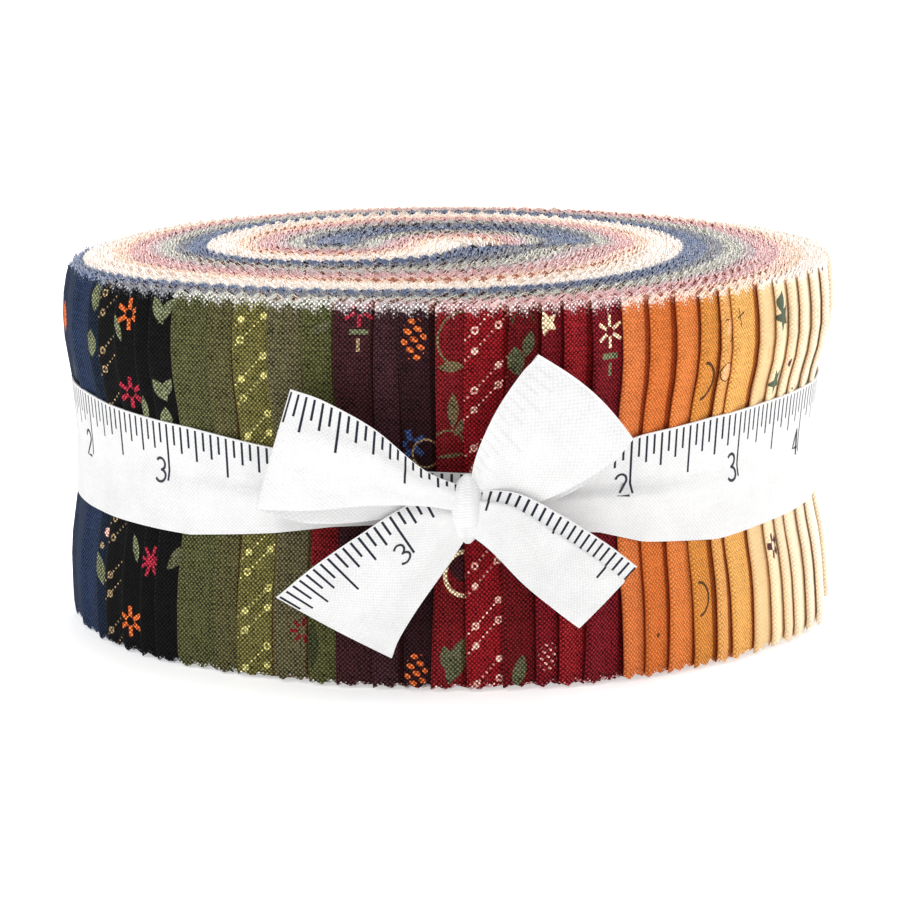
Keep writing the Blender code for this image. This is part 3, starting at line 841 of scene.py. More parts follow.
PRINTS = [
    # ground, motifs: shape, mm from the fold, mm up, colour, sizes in mm
    ((32, 46, 74), ()),
    ((36, 50, 80), (("leaf", 2, 40, "slate", {}),)),
    ((34, 48, 76), ()),
    ((30, 42, 66), (("leaf", 2.2, 54, "rust", {"length": 5.5, "width": 1.8}), ("leaf", 5, 44, "slate", {}))),
    ((33, 46, 72), ()),
    ((22, 32, 48), (("leaf", 2.4, 60.5, "sage", {"length": 5}), ("leaf", 1.4, 52.5, "sage", {"length": 5}),
                    ("leaf", 1.6, 13, "sage", {"turn": 110}), ("disc", 2.8, 19.5, "blush", {"size": 1.6}),
                    ("disc", 1.6, 17, "tan", {}))),
    ((17, 16, 17), slanted_rows("tan", 50.2, "ring", "ring")),
    ((15, 14, 15), (("petals", 3.6, 59, "rust", {"width": 0.8}), ("petals", 3.0, 45.5, "rose", {"width": 0.8}),
                    ("petals", 2.3, 5.7, "rust", {"width": 0.8}),
                    ("leaf", 1.2, 56.5, "sage", {"length": 5, "width": 1.2, "turn": 110}),
                    ("leaf", 3.0, 18.5, "sage", {"length": 5, "width": 1.3, "turn": 105}))),
    ((14, 13, 13), (("leaf", 1.0, 43, "sage", {"length": 5, "width": 1.6}), ("petals", 2.2, 17, "rose", {"count": 8}),
                    ("disc", 2.2, 17, "rose", {"size": 1.8}))),
    ((16, 15, 15), (("leaf", 2.0, 60.5, "sage", {"length": 5, "width": 2, "turn": 115}),
                    ("leaf", 3.4, 60.5, "sage", {"length": 5, "width": 1.8, "turn": 60}),
                    ("leaf", 1.9, 47, "sage", {"length": 4.4, "width": 2.2, "turn": 120}),
                    ("leaf", 3.2, 47.4, "sage", {"length": 4, "width": 1.8, "turn": 55}),
                    ("leaf", 2.4, 41.6, "sage", {"length": 5, "width": 2.6}),
                    ("leaf", 4.4, 18.5, "dark sage", {"turn": 50}))),
    ((76, 77, 48), ()),
    ((80, 77, 49), ()),
    ((96, 91, 50), slanted_rows("straw", 49.0, "disc", "ring")),
    ((86, 81, 57), (("dash", 0.8, 59, "vine", {"length": 1.6, "width": 0.5, "turn": 40}),
                    ("petals", 5.4, 9, "wine", {"count": 7, "outer": 2.2}))),
    ((76, 77, 45), (("arc", 3.0, 58, "vine", {"size": 5, "line": 0.35, "turn": 40}),
                    ("leaf", 3.6, 60, "dark sage", {"length": 4, "width": 1.6, "turn": 30}),
                    ("leaf", 0.9, 7, "vine", {"length": 8, "width": 2.2}), ("leaf", 2.0, 25, "wine", {"length": 14, "width": 7.5, "turn": 98}))),
    ((56, 29, 32), (("petals", 4.3, 63, "rose", {}), ("dash", 4.3, 59.5, "sage", {"length": 3.2, "width": 0.8, "turn": 0}),
                    ("dash", 4.2, 57.4, "tan", {"length": 2.2, "width": 0.6}))),
    ((56, 32, 37), ()),
    ((43, 22, 26), (("berries", 2.6, 58.6, "rust", {}), ("berries", 2.2, 3.0, "rust", {}),
                    ("petals", 1.5, 41, "blue", {"count": 5, "outer": 2.6, "width": 1}),
                    ("ring", 4.0, 39.5, "tan", {"size": 5, "line": 0.35}))),
    ((108, 24, 28), (("arc", 5.0, 58.5, "olive", {"size": 9, "line": 0.4, "turn": 150}),
                     ("leaf", 2.8, 54.2, "olive", {"length": 4.6, "width": 1.8, "turn": 0}),
                     ("leaf", 3.1, 46.8, "olive", {"length": 6.2, "width": 2}),
                     ("leaf", 4.7, 44.2, "olive", {"length": 4.4, "width": 1.6, "turn": 50}),
                     ("arc", 2.2, 40.5, "olive", {"size": 6, "line": 0.4, "turn": 110}),
                     ("leaf", 2.6, 39.2, "olive", {"length": 5.4, "width": 0.7, "turn": 5}),
                     ("disc", 6.0, 21.5, "aubergine", {"size": 7}), ("ring", 5.6, 19.5, "cream", {"size": 8, "line": 0.7}),
                     ("leaf", 4.2, 5, "dark sage", {"length": 8.4, "width": 3.4, "turn": 72}),
                     ("leaf", 2.6, 5.4, "dark sage", {"length": 5, "width": 2.2, "turn": 105}))),
    ((124, 22, 28), slanted_rows("blush", 48.6)),
    ((92, 18, 22), (("leaf", 1.5, 55, "dark sage", {"length": 5, "width": 3, "turn": 100}),
                    ("leaf", 3.6, 57.6, "dark sage", {"length": 4.4, "width": 2.2, "turn": 75}),
                    ("arc", 2.5, 61, "vine", {"size": 4, "line": 0.3}),
                    ("leaf", 2.8, 3, "dark sage", {"turn": 75}))),
    ((106, 20, 28), (("star", 0.9, 61, "cream", {"size": 4.2, "turn": 20}),
                     ("berries", 2.0, 5.4, "blush", {"wide": 3.4, "tall": 5, "step": 1.15, "size": 0.5}))),
    ((128, 26, 32), ()),
    ((106, 22, 30), (("petals", 3.5, 59, "cream", {}), ("dash", 3.4, 55, "sage", {"length": 3.3, "width": 1, "turn": 0}),
                     ("dash", 3.5, 52.8, "sage", {"length": 2.2, "width": 0.6}),
                     ("dash", 3.6, 16.6, "sage", {"length": 3.3, "width": 1, "turn": 0}),
                     ("dash", 3.4, 14.4, "sage", {"length": 2.2, "width": 0.6}))),
    ((204, 112, 60), ()),
    ((198, 106, 50), (("disc", 2.6, 7, "umber", {"size": 0.8}), ("dash", 2.8, 9, "rust", {}))),
    ((206, 117, 59), ()),
    ((198, 128, 58), (("arc", 1.2, 49, "umber", {"size": 6.2, "line": 0.6, "turn": 0}),
                      ("arc", 1.0, 12, "umber", {"size": 5.6, "line": 0.5, "turn": 0}))),
    ((218, 156, 90), (("leaf", 1.6, 50, "peach", {"length": 4, "width": 2.6, "turn": 70}),
                      ("ring", 1.6, 50, "umber", {"size": 3.4, "line": 0.2}),
                      ("arc", 1.2, 57, "umber", {"size": 4, "line": 0.2, "turn": 20}),
                      ("leaf", 2.2, 58, "peach", {"length": 4, "width": 1.8, "turn": 50}))),
    ((220, 160, 88), (("dash", 1.6, 59, "umber", {"length": 3.4, "width": 0.3, "turn": 100}),
                      ("dash", 2.0, 59.4, "umber", {"length": 2.6, "width": 0.3, "turn": 15}),
                      ("dash", 1.8, 41.5, "umber", {"length": 2.6, "width": 0.3, "turn": 60}))),
    ((228, 194, 144), (("leaf", 3.4, 52, "peach", {"length": 3, "width": 0.8}),)),
    ((244, 220, 182), (("star", 1.7, 57.6, "grey green", {"size": 5.4, "turn": 20}),
                       ("leaf", 1.2, 60.2, "grey green", {"length": 3.8, "width": 2.6, "turn": 75}),
                       ("star", 1.9, 46.3, "grey green", {"size": 5, "turn": 30}),
                       ("petals", 2.2, 17.5, "plum", {"count": 5, "outer": 2.2, "width": 1.2}))),
    ((236, 212, 177), (("disc", 1.0, 49.2, "plum", {"size": 1.5}),)),
    ((241, 222, 191), (("berries", 1.6, 43, "plum", {"wide": 3, "tall": 4, "step": 1.5, "size": 0.5}),)),
    ((241, 224, 198), (("petals", 1.8, 56.6, "peach", {"outer": 1.4, "inner": 0.3}),)),
    ((245, 232, 210), (("berries", 3, 50, "tan", {"wide": 3, "tall": 4, "step": 1.5, "size": 0.5}),)),
    ((245, 231, 208), (("disc", 8, 40, "peach", {}),)),
    ((245, 231, 210), (("petals", 3, 44, "peach", {}),)),
    ((244, 229, 205), (("disc", 5, 50, "plum", {}),)),
    ((245, 231, 208), (("leaf", 6, 52, "grey green", {"length": 5}), ("leaf", 8, 49, "sage", {"turn": 40}),
                       ("arc", 10, 46, "tan", {"size": 7, "line": 0.3}), ("petals", 16, 40, "peach", {}),
                       ("disc", 4, 34, "plum", {"size": 1.4}), ("berries", 20, 53, "plum", {"wide": 4, "tall": 4}),
                       ("leaf", 18, 18, "sage", {"turn": 120}), ("arc", 8, 16, "tan", {"size": 6, "line": 0.3}))),
]
PRINT_CELL = 24.0
PRINT_REPEAT = 1000.0
# No fold lies on the outermost strip, so its painted crease shade is set far beyond its end.
UNCOVERED_REACH = 1.0
BARE_COTTON = (0.92, 0.90, 0.88)
YARN_COLOURS = {
    "navy": (118, 132, 162), "black": (140, 142, 152), "green": (172, 172, 154), "purple": (196, 166, 170),
    "red": (222, 158, 158), "orange": (244, 204, 182), "gold": (246, 214, 186), "cream": (250, 238, 228),
}
EDGE_PALENESS = {"navy": 0.05, "black": 0.1, "green": 0.6}
families = [family for family, angles in FOLD_ANGLES.items() for _ in angles]
print(len(PRINTS), "prints")


# %% Make the strips
def sheet_object(name, points, faces, kinds, flat, materials):
    """A closed sheet with its flat places as a UV map."""
    mesh = bpy.data.meshes.new(name)
    mesh.from_pydata(points.tolist(), [], faces)
    for material in materials:
        mesh.materials.append(material)
    mesh.polygons.foreach_set("material_index", kinds)
    corners = np.empty(len(mesh.loops), int)
    mesh.loops.foreach_get("vertex_index", corners)
    mesh.uv_layers.new(name="flat").data.foreach_set("uv", flat[corners].astype(np.float32).ravel())
    mesh.shade_smooth()
    mesh.set_sharp_from_angle(angle=math.radians(50))
    obj = bpy.data.objects.new(name, mesh)
    bpy.context.scene.collection.objects.link(obj)
    return obj


def paler(colour, share):
    return tuple(c + (w - c) * share for c, w in zip(colour, BARE_COTTON))


def yarn_material(name, dyed):
    """Yarn ends in all shades from the dyed colour to bare white cotton, by each end's own number."""
    material = bpy.data.materials.new(name)
    material.use_nodes = True
    tree = material.node_tree
    shader = tree.nodes["Principled BSDF"]
    shader.inputs["Roughness"].default_value = 0.95
    own = tree.nodes.new("ShaderNodeAttribute")
    own.attribute_name = "yarn_shade"
    bare = (Number(tree, own.outputs["Fac"]) * 0.8).math("SUBTRACT", 0.15, clamp=True)
    tree.links.new(mixed(tree, bare, dyed, BARE_COTTON), shader.inputs["Base Color"])
    return material


WEAVES = {"orange": warm_weave, "gold": warm_weave, "cream": pale_weave}
rng = np.random.default_rng(7)
strips, fringes = [], []
for strip, (ground, motifs) in enumerate(PRINTS):
    family = families[strip]
    name = f"strip_{strip:02d}_{family}"
    points, faces, kinds, flat, edge, phases = strip_mesh(strip, rng)
    points[:, :2] += ROLL_CENTRE[:2]
    edge[:, :2] += ROLL_CENTRE[:2]
    pale = paler(linear(*YARN_COLOURS[family]), EDGE_PALENESS.get(family, 0.5))
    # Where the next strip's fold lies on this one, which places the painted crease shade.
    covered = UNCOVERED_REACH
    if strip + 1 < STRIP_COUNT:
        here, after = wound_point(np.array(fold_windings[strip:strip + 2]), (strip + 1) / STRIP_COUNT)
        covered = float(np.linalg.norm(here - after))
    print_side = printed_cotton(name + "_print", ground, pale, motifs, phases, covered,
                                WEAVES.get(family, cotton_weave))
    reverse = plain_cotton(name + "_reverse", paler(linear(*ground), 0.3), pale, phases)
    strips.append(sheet_object(name, points, faces, kinds, flat, [print_side, reverse]))
    yarn = yarn_material(name + "_yarn", linear(*YARN_COLOURS[family]))
    fringes.append(yarn_ends(f"yarn_ends_{strip:02d}", edge, yarn, strip, Length=0.5 * MM))
print("strips", sum(len(s.data.polygons) for s in strips), "faces; yarn ends",
      sum(len(f.data.polygons) for f in fringes), "faces")

# %% [markdown]
# ## The ribbon
# The tape is one cut length 20 mm wide: a band round the waist, a knot, two flat loops and two
# tails. Each part is a thin slab around a grid of points, read through a smooth curve from a short
# table of its two edges. Distances along and across the tape are kept as flat places, so that the
# printed ruler follows every bend.

# %% Ribbon tables
RIBBON_WIDTH = 20.0 * MM
RIBBON_PLY = 0.28 * MM
RIBBON_OFF = 0.0 * MM
BAND_EDGES = np.array([
    # angle from the front, lower edge, upper edge, lift off the roll
    (-180, 23.0, 43.4, 0.0), (-124, 22.9, 43.3, 0.0), (-113, 22.9, 43.3, 1.1), (-107, 22.9, 43.2, 1.0),
    (-100, 22.9, 43.1, 0.2), (-92, 22.9, 43.1, 0.0), (-72, 22.8, 43.0, 0.0), (-45, 23.0, 41.4, 0.0),
    (-30, 25.2, 39.6, 0.2), (-20, 27.2, 38.6, 0.6), (-8, 28.5, 37.2, 1.0), (2, 28.0, 36.8, 1.2),
    (12, 27.2, 38.0, 1.0), (22, 25.8, 39.8, 0.6), (30, 23.3, 41.5, 0.2), (45, 21.6, 42.8, 0.0),
    (70, 22.6, 43.8, 0.0), (110, 23.0, 43.6, 0.0), (180, 23.0, 43.4, 0.0),
])
LEFT_LOOP = [
    # x and z of the lower edge, x and z of the upper edge, distance in front of the roll at each
    (1.0, 31.6, 1.0, 35.5, 4.6, 4.6), (-6.0, 33.0, -6.0, 38.8, 5.8, 6.2), (-15.0, 33.0, -14.0, 45.5, 6.8, 7.4),
    (-25.0, 31.5, -22.0, 49.6, 6.6, 7.2), (-32.5, 30.8, -26.8, 50.8, 5.6, 6.0), (-33.6, 30.6, -27.6, 50.8, 4.4, 4.8),
    (-32.5, 30.0, -26.8, 50.2, 3.2, 3.6), (-25.0, 28.6, -22.0, 48.0, 2.8, 3.2), (-15.0, 29.6, -14.0, 43.0, 2.8, 3.0),
    (-6.0, 31.8, -6.0, 37.0, 2.8, 2.8), (1.0, 31.2, 1.0, 34.6, 2.8, 2.8),
]
RIGHT_LOOP = [
    # x and z of the upper edge, x and z of the lower edge, distance in front of the roll at each
    (1.2, 35.2, 3.0, 32.2, 4.6, 4.6), (2.3, 41.3, 9.3, 32.4, 6.0, 5.8), (5.4, 48.6, 17.3, 35.4, 7.4, 6.8),
    (9.4, 54.6, 24.4, 39.5, 7.6, 7.0), (11.6, 56.7, 27.1, 41.9, 6.8, 6.2), (12.1, 57.2, 27.7, 42.3, 5.6, 5.0),
    (11.6, 56.4, 27.1, 41.5, 4.4, 3.8), (9.2, 52.9, 23.9, 37.7, 3.4, 3.0), (5.2, 46.6, 16.9, 33.5, 3.0, 2.8),
    (2.5, 40.0, 9.3, 31.0, 2.8, 2.8), (1.8, 34.0, 3.4, 31.2, 2.8, 2.8),
]
LEFT_TAIL = [
    # x and z of the upper edge, x and z of the lower edge, distance in front of the roll at each
    (0.2, 34.6, 1.4, 28.6, 4.0, 4.2), (-8.0, 33.0, -2.1, 23.2, 4.4, 5.2), (-16.5, 27.5, -7.0, 16.2, 4.6, 6.2),
    (-24.0, 21.8, -10.2, 10.8, 4.8, 6.4), (-30.4, 15.9, -11.4, 7.5, 4.6, 6.0),
]
RIGHT_TAIL = [
    # x and z of the upper edge, x and z of the lower edge, distance in front of the roll at each
    (2.0, 35.4, 1.0, 28.4, 5.0, 5.0), (8.8, 35.2, 4.6, 26.2, 7.6, 8.4), (15.8, 31.2, 9.6, 21.4, 7.0, 11.2),
    (23.2, 25.6, 14.6, 17.4, 5.2, 13.0), (28.6, 20.8, 18.8, 14.0, 4.6, 13.4),
]
KNOT_CENTRE = np.array([0.9, 32.2, 4.6]) * MM
KNOT_HALF_SIZE = np.array([2.5, 2.8, 5.6]) * MM


def smooth_table(rows, count):
    """A short table read through a smooth curve, at count even steps."""
    rows = np.array(rows, float)
    wanted = np.linspace(0, len(rows) - 1, count)
    slopes = np.gradient(rows, axis=0)
    low = np.minimum(wanted.astype(int), len(rows) - 2)
    t = (wanted - low)[:, None]
    rise = 3 * t**2 - 2 * t**3
    return (rows[low] * (1 - rise) + rows[low + 1] * rise
            + slopes[low] * (t - 2 * t**2 + t**3) + slopes[low + 1] * (t**3 - t**2))


# %% A tape around a grid of points
class Tape:
    """A stretch of ribbon: a grid of points, rows along it and columns from its ruler edge down."""

    def __init__(self, grid, start=0.0, reverse=False, closed=False):
        self.grid, self.closed = grid, closed
        steps = np.linalg.norm(np.diff(grid, axis=0), axis=2)[:, :2].mean(axis=1)
        run = np.append(0, np.cumsum(steps))
        self.along = start + (run[-1] - run if reverse else run)
        self.across = np.linspace(0, RIBBON_WIDTH, grid.shape[1])
        way = np.gradient(grid, axis=0)
        over = np.gradient(grid, axis=1)
        normal = np.cross(over, way)
        self.normal = normal / np.linalg.norm(normal, axis=2)[:, :, None]

    def turn_over(self):
        self.normal = -self.normal
        return self

    def at(self, along, across, off):
        """A point on the tape's printed face from its flat place."""
        order = np.argsort(self.along)
        row = np.interp(along, self.along[order], order.astype(float))
        column = np.interp(across, self.across, np.arange(len(self.across)))
        i, j = min(int(row), len(self.grid) - 2), min(int(column), self.grid.shape[1] - 2)
        s, t = row - i, column - j
        place = np.zeros(3)
        for values, weight in ((self.grid, 1.0), (self.normal, RIBBON_PLY / 2 + off)):
            place += weight * ((1 - s) * ((1 - t) * values[i, j] + t * values[i, j + 1])
                               + s * ((1 - t) * values[i + 1, j] + t * values[i + 1, j + 1]))
        return place


def tape_mesh(tapes):
    """Closed slabs of several tapes as one mesh's points, faces, kinds and flat places."""
    points, faces, kinds, flat = [], [], [], []
    for tape in tapes:
        rows, columns = tape.grid.shape[:2]
        start = len(points)
        for side in (1, -1):
            points.extend((tape.grid + side * RIBBON_PLY / 2 * tape.normal).reshape(-1, 3))
            flat.extend((along, across) for along in tape.along for across in tape.across)

        def at(row, column, side):
            return start + side * rows * columns + (row % rows) * columns + column

        made = []
        for row in range(rows if tape.closed else rows - 1):
            for column in range(columns - 1):
                around = ((row, column), (row, column + 1), (row + 1, column + 1), (row + 1, column))
                made.append((tuple(at(*place, 0) for place in around), 0))
                made.append((tuple(at(*place, 1) for place in around[::-1]), 1))
            for column, way in ((0, -1), (columns - 1, 1)):
                edge = (at(row, column, 0), at(row, column, 1), at(row + 1, column, 1), at(row + 1, column, 0))
                made.append((edge[::way], 1))
        if not tape.closed:
            for row, way in ((0, 1), (rows - 1, -1)):
                for column in range(columns - 1):
                    end = (at(row, column, 0), at(row, column, 1), at(row, column + 1, 1), at(row, column + 1, 0))
                    made.append((end[::way], 1))
        first, second, third = (np.array(points[corner]) for corner in made[0][0][:3])
        outward = np.dot(np.cross(second - first, third - second), tape.normal[0, 0]) > 0
        for face, kind in made:
            faces.append(face if outward else face[::-1])
            kinds.append(kind)
    return np.array(points), faces, kinds, np.array(flat)


# %% Band, loops and tails
INCH = 25.4 * MM
TAPE_COLUMNS = np.linspace(0, 1, 21)


BAND_ANGLES = np.linspace(2.4, 361.6, 240)
BAND_INCHES = ((27.6, 2), (50.5, 3), (70.0, 4), (310.8, 15))
TUCK_ANGLES = ((-180, 0), (-62, 0), (-30, 0.9), (-12, 1.2), (12, 1.2), (32, 1.0), (62, 0), (180, 0))
TUCK_FROM = 0.45
TAIL_TUCK_FROM = 0.2
PLEAT = ((0, 0.18, 0.42, 1), (0, 0.22, 0.235, 1))


def band_tape():
    """The band from behind the knot round to behind the knot, with a soft lengthwise tuck near the bow."""
    grid = []
    for angle in (BAND_ANGLES + 180) % 360 - 180:
        top, bottom, out = (np.interp(angle, BAND_EDGES[:, 0], BAND_EDGES[:, part]) * MM for part in (2, 1, 3))
        tuck = np.interp(angle, *zip(*TUCK_ANGLES)) * MM
        over = (TAPE_COLUMNS - TUCK_FROM) / (1 - TUCK_FROM)
        raised = tuck * smooth_share(over * 5) * (1 - smooth_share(over))
        heights = top + (bottom - top) * TAPE_COLUMNS
        grid.append(face_at(np.full(len(heights), angle), heights, RIBBON_OFF + out + raised))
    return np.array(grid)


def read_inches(tape, angles):
    """Sets the tape's distances so that its inch marks fall at the angles in the table."""
    places = np.interp([angle for angle, _ in BAND_INCHES], angles, tape.along)
    inches = np.array([number for _, number in BAND_INCHES]) * INCH
    known = [tape.along[0], *places, tape.along[-1]]
    told = [inches[0] - places[0] + tape.along[0], *inches, inches[-1] + tape.along[-1] - places[-1]]
    tape.along = np.interp(tape.along, known, told)
    return tape


def flap_grid(table, ruler_edge, rows, puff, tuck=0.0, pleat=False, rounded=0.0):
    """A loop or a tail: edges read smoothly, its middle puffed out, with a tuck, a pleat or a rounded fold."""
    grid = []
    across = np.interp(TAPE_COLUMNS, *PLEAT) if pleat else TAPE_COLUMNS
    share = across if ruler_edge == 0 else 1 - across
    bulge = puff * np.sin(np.pi * TAPE_COLUMNS) + tuck * smooth_share((TAPE_COLUMNS - TAIL_TUCK_FROM) * 7)
    for row, (x0, z0, x1, z1, off0, off1) in enumerate(smooth_table(table, rows) * MM):
        at_fold = rounded * np.sin(np.pi * share) * smooth_share(1 - abs(row / (rows - 1) - 0.5) * 3)
        grid.append(face_front(x0 + (x1 - x0) * share + at_fold, z0 + (z1 - z0) * share + at_fold,
                               off0 + (off1 - off0) * share + bulge))
    return np.array(grid)


def knot_grid():
    """The knot: a short wrap of tape round the middle of the bow, as a closed pillow of rings."""
    centre = face_front(KNOT_CENTRE[0], KNOT_CENTRE[1], KNOT_CENTRE[2])
    grid = []
    for turn in np.radians(np.arange(0, 360, 9.0)):
        row = []
        for share in np.linspace(-1, 1, len(TAPE_COLUMNS)):
            reach = (1 - abs(share) ** 3 * 0.85) * (1 + 0.05 * math.sin(4 * turn + 2.5 * share))
            way = (reach * math.cos(turn), reach * math.sin(turn), share)
            row.append(centre + KNOT_HALF_SIZE * way)
        grid.append(row)
    return np.array(grid)


band = read_inches(Tape(band_tape()), BAND_ANGLES)
left_loop = Tape(flap_grid(LEFT_LOOP, 1, 61, 0.5 * MM, 0.6 * MM), start=18.8 * MM, reverse=True).turn_over()
right_loop = Tape(flap_grid(RIGHT_LOOP, 0, 61, 0.5 * MM, rounded=1.0 * MM)).turn_over()
left_tail = Tape(flap_grid(LEFT_TAIL, 0, 31, 0.3 * MM), start=51.9 * MM, reverse=True).turn_over()
right_tail = Tape(flap_grid(RIGHT_TAIL, 0, 31, 0.3 * MM, 0.8 * MM, pleat=True), start=-2.9 * MM)
knot = Tape(knot_grid(), closed=True)
for label, tape in (("band", band), ("left loop", left_loop), ("right loop", right_loop),
                    ("left tail", left_tail), ("right tail", right_tail), ("knot", knot)):
    print(label, "length", round(abs(tape.along[-1] - tape.along[0]) / MM, 1), "mm, normal",
          np.round(tape.normal[len(tape.grid) // 4, 5], 2))

# %% Ribbon material
ribbon_weave = weave_group("ribbon_weave", 0.40 * MM, 0.09)
RIBBON_WHITE = (0.735, 0.735, 0.735)
INK = (0.02, 0.022, 0.035)
TICK_STEP = INCH / 16
TICK_WIDTH = 0.46 * MM
TICK_LENGTHS = ((1, 4.0), (2, 5.3), (4, 6.3), (8, 8.4), (16, 10.8))


def ruler_marks(u, v):
    marks = None
    for step, length in TICK_LENGTHS:
        near = -(abs(u.wrap(TICK_STEP * step)) - TICK_WIDTH / 2)
        mark = both(near.fill(), (-(v - length * MM)).fill())
        marks = mark if marks is None else either(marks, mark)
    return both(marks, (v - 0.35 * MM).fill())


def ribbon_cloth(name, ink_share):
    """The ribbon's printed face, or its reverse, where the ink only shows through."""
    material, u, v, shader = cloth_shader(name, 0.8, 0.15)
    colour = mixed(u.tree, ruler_marks(u, v) * ink_share, RIBBON_WHITE, INK)
    weave_into(shader, ribbon_weave, colour, u, v, 0.05 * MM)
    return material


ribbon_materials = [ribbon_cloth("ribbon_print", 1.0), ribbon_cloth("ribbon_reverse", 0.07)]
points, faces, kinds, flat = tape_mesh([band, left_loop, right_loop, left_tail, right_tail, knot])
ribbon = sheet_object("ruler_ribbon", points + ROLL_CENTRE, faces, kinds, flat, ribbon_materials)
print("ribbon", len(faces), "faces")

# %% [markdown]
# ## Ruler numbers
# Every inch mark has its number, as on any tape measure. A digit is a few pen strokes in a box one
# high and about half as wide, and each stroke is laid on the tape as a thin closed strip of ink.

# %% Digits
def oval(across, up, wide, high, start=0, end=360):
    turns = np.radians(np.linspace(start, end, 15))
    return [(across + wide * math.cos(turn), up + high * math.sin(turn)) for turn in turns]


DIGITS = {
    "0": [oval(0.28, 0.50, 0.26, 0.48)],
    "1": [[(0.12, 0.80), (0.32, 0.98), (0.32, 0.02)]],
    "2": [oval(0.27, 0.72, 0.24, 0.26, 170, -35) + [(0.03, 0.02), (0.54, 0.02)]],
    "3": [oval(0.25, 0.74, 0.22, 0.24, 150, -90), oval(0.25, 0.26, 0.27, 0.24, 90, -150)],
    "4": [[(0.40, 0.98), (0.02, 0.30), (0.54, 0.30)], [(0.40, 0.98), (0.40, 0.02)]],
    "5": [[(0.48, 0.98), (0.10, 0.98), (0.07, 0.56)], oval(0.26, 0.32, 0.25, 0.30, 130, -150)],
    "6": [oval(0.28, 0.30, 0.25, 0.28), oval(0.52, 0.42, 0.49, 0.56, 180, 100)],
    "7": [[(0.03, 0.98), (0.50, 0.98), (0.18, 0.02)]],
    "8": [oval(0.28, 0.75, 0.20, 0.23), oval(0.28, 0.27, 0.25, 0.25)],
    "9": [oval(0.28, 0.70, 0.24, 0.28), oval(0.04, 0.58, 0.48, 0.56, 0, -80)],
}
DIGIT_TOP = 6.8 * MM
DIGIT_HEIGHT = 4.5 * MM
DIGIT_STEP = 0.62 * DIGIT_HEIGHT
DIGIT_GAP = 0.6 * MM
PEN_WIDTH = 0.46 * MM


def ink_strip(tape, stroke):
    """A closed strip of ink on a tape along a stroke of flat places."""
    stroke = np.array(stroke)
    ways = np.gradient(stroke, axis=0)
    ways /= np.linalg.norm(ways, axis=1)[:, None]
    aside = np.stack([-ways[:, 1], ways[:, 0]], axis=1) * PEN_WIDTH / 2
    corners = []
    for (along, across), (right, down) in zip(stroke, aside):
        for side, off in ((1, 0.0), (-1, 0.0), (-1, 0.05 * MM), (1, 0.05 * MM)):
            corners.append(tape.at(along + side * right, across + side * down, off))
    faces = [(3, 2, 1, 0), tuple(len(corners) - 4 + k for k in range(4))]
    for row in range(0, len(corners) - 4, 4):
        faces += [(row + k, row + (k + 1) % 4, row + 4 + (k + 1) % 4, row + 4 + k) for k in range(4)]
    return corners, faces


def number_strips(tape, inch, number):
    """The strips of a number that stands just before an inch mark."""
    label = str(number)
    strips = []
    for place, digit in enumerate(label):
        left = inch * INCH - DIGIT_GAP - DIGIT_STEP * (len(label) - place) + 0.07 * DIGIT_HEIGHT
        for stroke in DIGITS[digit]:
            flat = [(left + x * DIGIT_HEIGHT, DIGIT_TOP + (1 - y) * DIGIT_HEIGHT) for x, y in stroke]
            strips.append(ink_strip(tape, flat))
    return strips


numbered = [(band, inch, (inch - 1) % 12 + 1) for inch in range(2, 16)]
numbered += [(left_tail, 3, 3)]
points, faces = [], []
for tape, inch, number in numbered:
    for corners, around in number_strips(tape, inch, number):
        faces += [tuple(len(points) + corner for corner in face) for face in around]
        points += corners
numbers_mesh = bpy.data.meshes.new("ruler_numbers")
numbers_mesh.from_pydata((np.array(points) + ROLL_CENTRE).tolist(), [], faces)
ink = bpy.data.materials.new("ruler_ink")
ink.use_nodes = True
ink.node_tree.nodes["Principled BSDF"].inputs["Base Color"].default_value = (*INK, 1.0)
ink.node_tree.nodes["Principled BSDF"].inputs["Roughness"].default_value = 0.8
numbers_mesh.materials.append(ink)
numbers = bpy.data.objects.new("ruler_numbers", numbers_mesh)
bpy.context.scene.collection.objects.link(numbers)
inside_out = sum(np.dot(np.cross(points[a], points[b]), points[c]) + np.dot(np.cross(points[a], points[c]), points[d])
                 for a, b, c, d in faces) < 0
if inside_out:
    numbers_mesh.flip_normals()
print("numbers", len(faces), "faces", "turned" if inside_out else "as made")

# %% [markdown]
# ## Light and floor
# The photograph is a catalogue picture: white all round, soft light from above and in front, and
# almost no shadow. A white world gives the even light, and two wide lamps model the ridges.

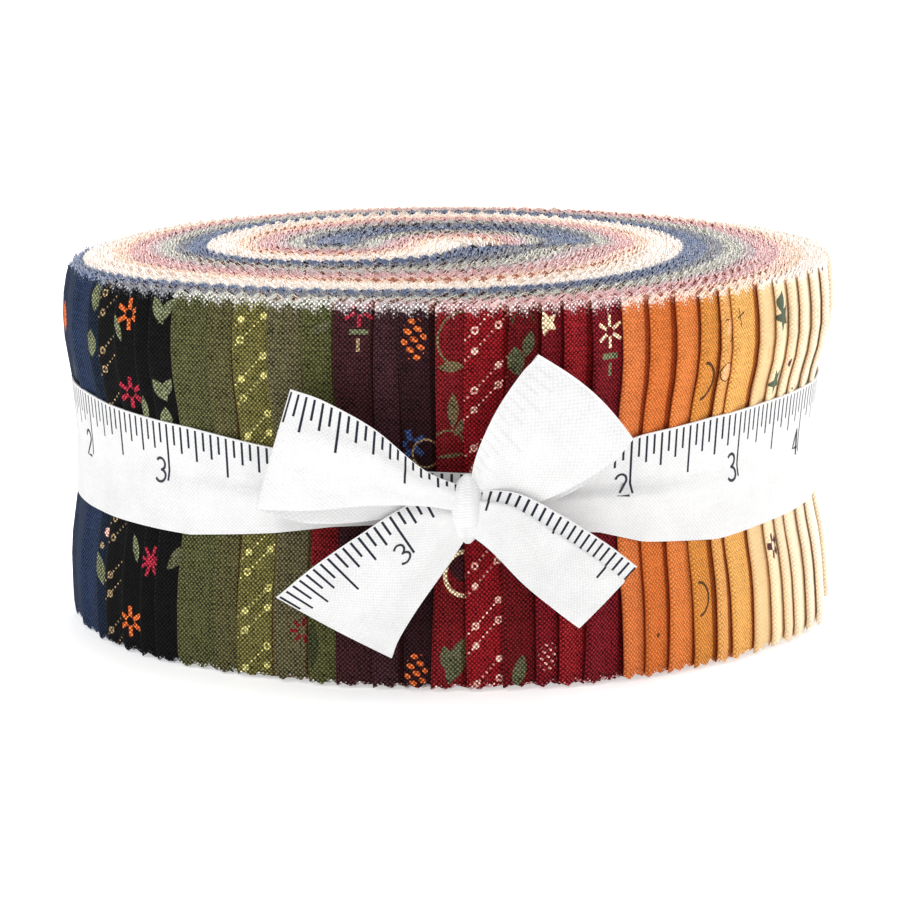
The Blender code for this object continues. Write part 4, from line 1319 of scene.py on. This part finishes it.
# %% Studio
def lamp(name, place, target, size, power):
    data = bpy.data.lights.new(name, "AREA")
    data.shape = "DISK"
    data.size = size
    data.energy = power
    made = bpy.data.objects.new(name, data)
    made.location = place
    way = np.array(target) - place
    made.rotation_euler = (math.acos(-way[2] / np.linalg.norm(way)), 0, math.atan2(way[1], way[0]) - math.pi / 2)
    bpy.context.scene.collection.objects.link(made)
    return made


world = bpy.data.worlds.new("studio")
world.use_nodes = True
world.node_tree.nodes["Background"].inputs["Color"].default_value = (1, 1, 1, 1)
world.node_tree.nodes["Background"].inputs["Strength"].default_value = 0.62
bpy.context.scene.world = world
ROLL_MIDDLE = (0.0, 0.0, 0.03)
lamp("key", (-0.45, -0.65, 0.6), ROLL_MIDDLE, 0.35, 2.4)
lamp("top", (0.1, 0.25, 0.9), ROLL_MIDDLE, 0.5, 7.0)
lamp("right", (0.7, 0.0, 0.25), ROLL_MIDDLE, 0.4, 1.3)

floor_mesh = bpy.data.meshes.new("floor")
FLOOR = 6.0
floor_mesh.from_pydata([(-FLOOR, -FLOOR, 0), (FLOOR, -FLOOR, 0), (FLOOR, FLOOR, 0), (-FLOOR, FLOOR, 0)], [], [(0, 1, 2, 3)])
floor = bpy.data.objects.new("floor", floor_mesh)
bpy.context.scene.collection.objects.link(floor)
floor_material = bpy.data.materials.new("floor")
floor_material.use_nodes = True
floor_material.node_tree.nodes["Principled BSDF"].inputs["Base Color"].default_value = (0.92, 0.92, 0.92, 1)
floor_material.node_tree.nodes["Principled BSDF"].inputs["Emission Color"].default_value = (1, 1, 1, 1)
floor_material.node_tree.nodes["Principled BSDF"].inputs["Emission Strength"].default_value = 0.42
floor_material.node_tree.nodes["Principled BSDF"].inputs["Roughness"].default_value = 0.9
floor_mesh.materials.append(floor_material)
bpy.context.scene.view_settings.view_transform = "Standard"

# %% [markdown]
# ## Hand the pieces to the frame
# Each strip is a sheet cut 63.5 by 1118 mm and folded, and its yarn ends go with it. Together they
# stand for the plain roll, and the ribbon stands for its plain tie.

# %% Bodies, and the plain parts hidden
for strip, fringe, length in zip(strips, fringes, STRIP_LENGTHS):
    for piece in (strip, fringe):
        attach(piece, "root")
    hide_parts("strip_roll")
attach(ribbon, "root")
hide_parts("ribbon_tie")
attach(numbers, "root")
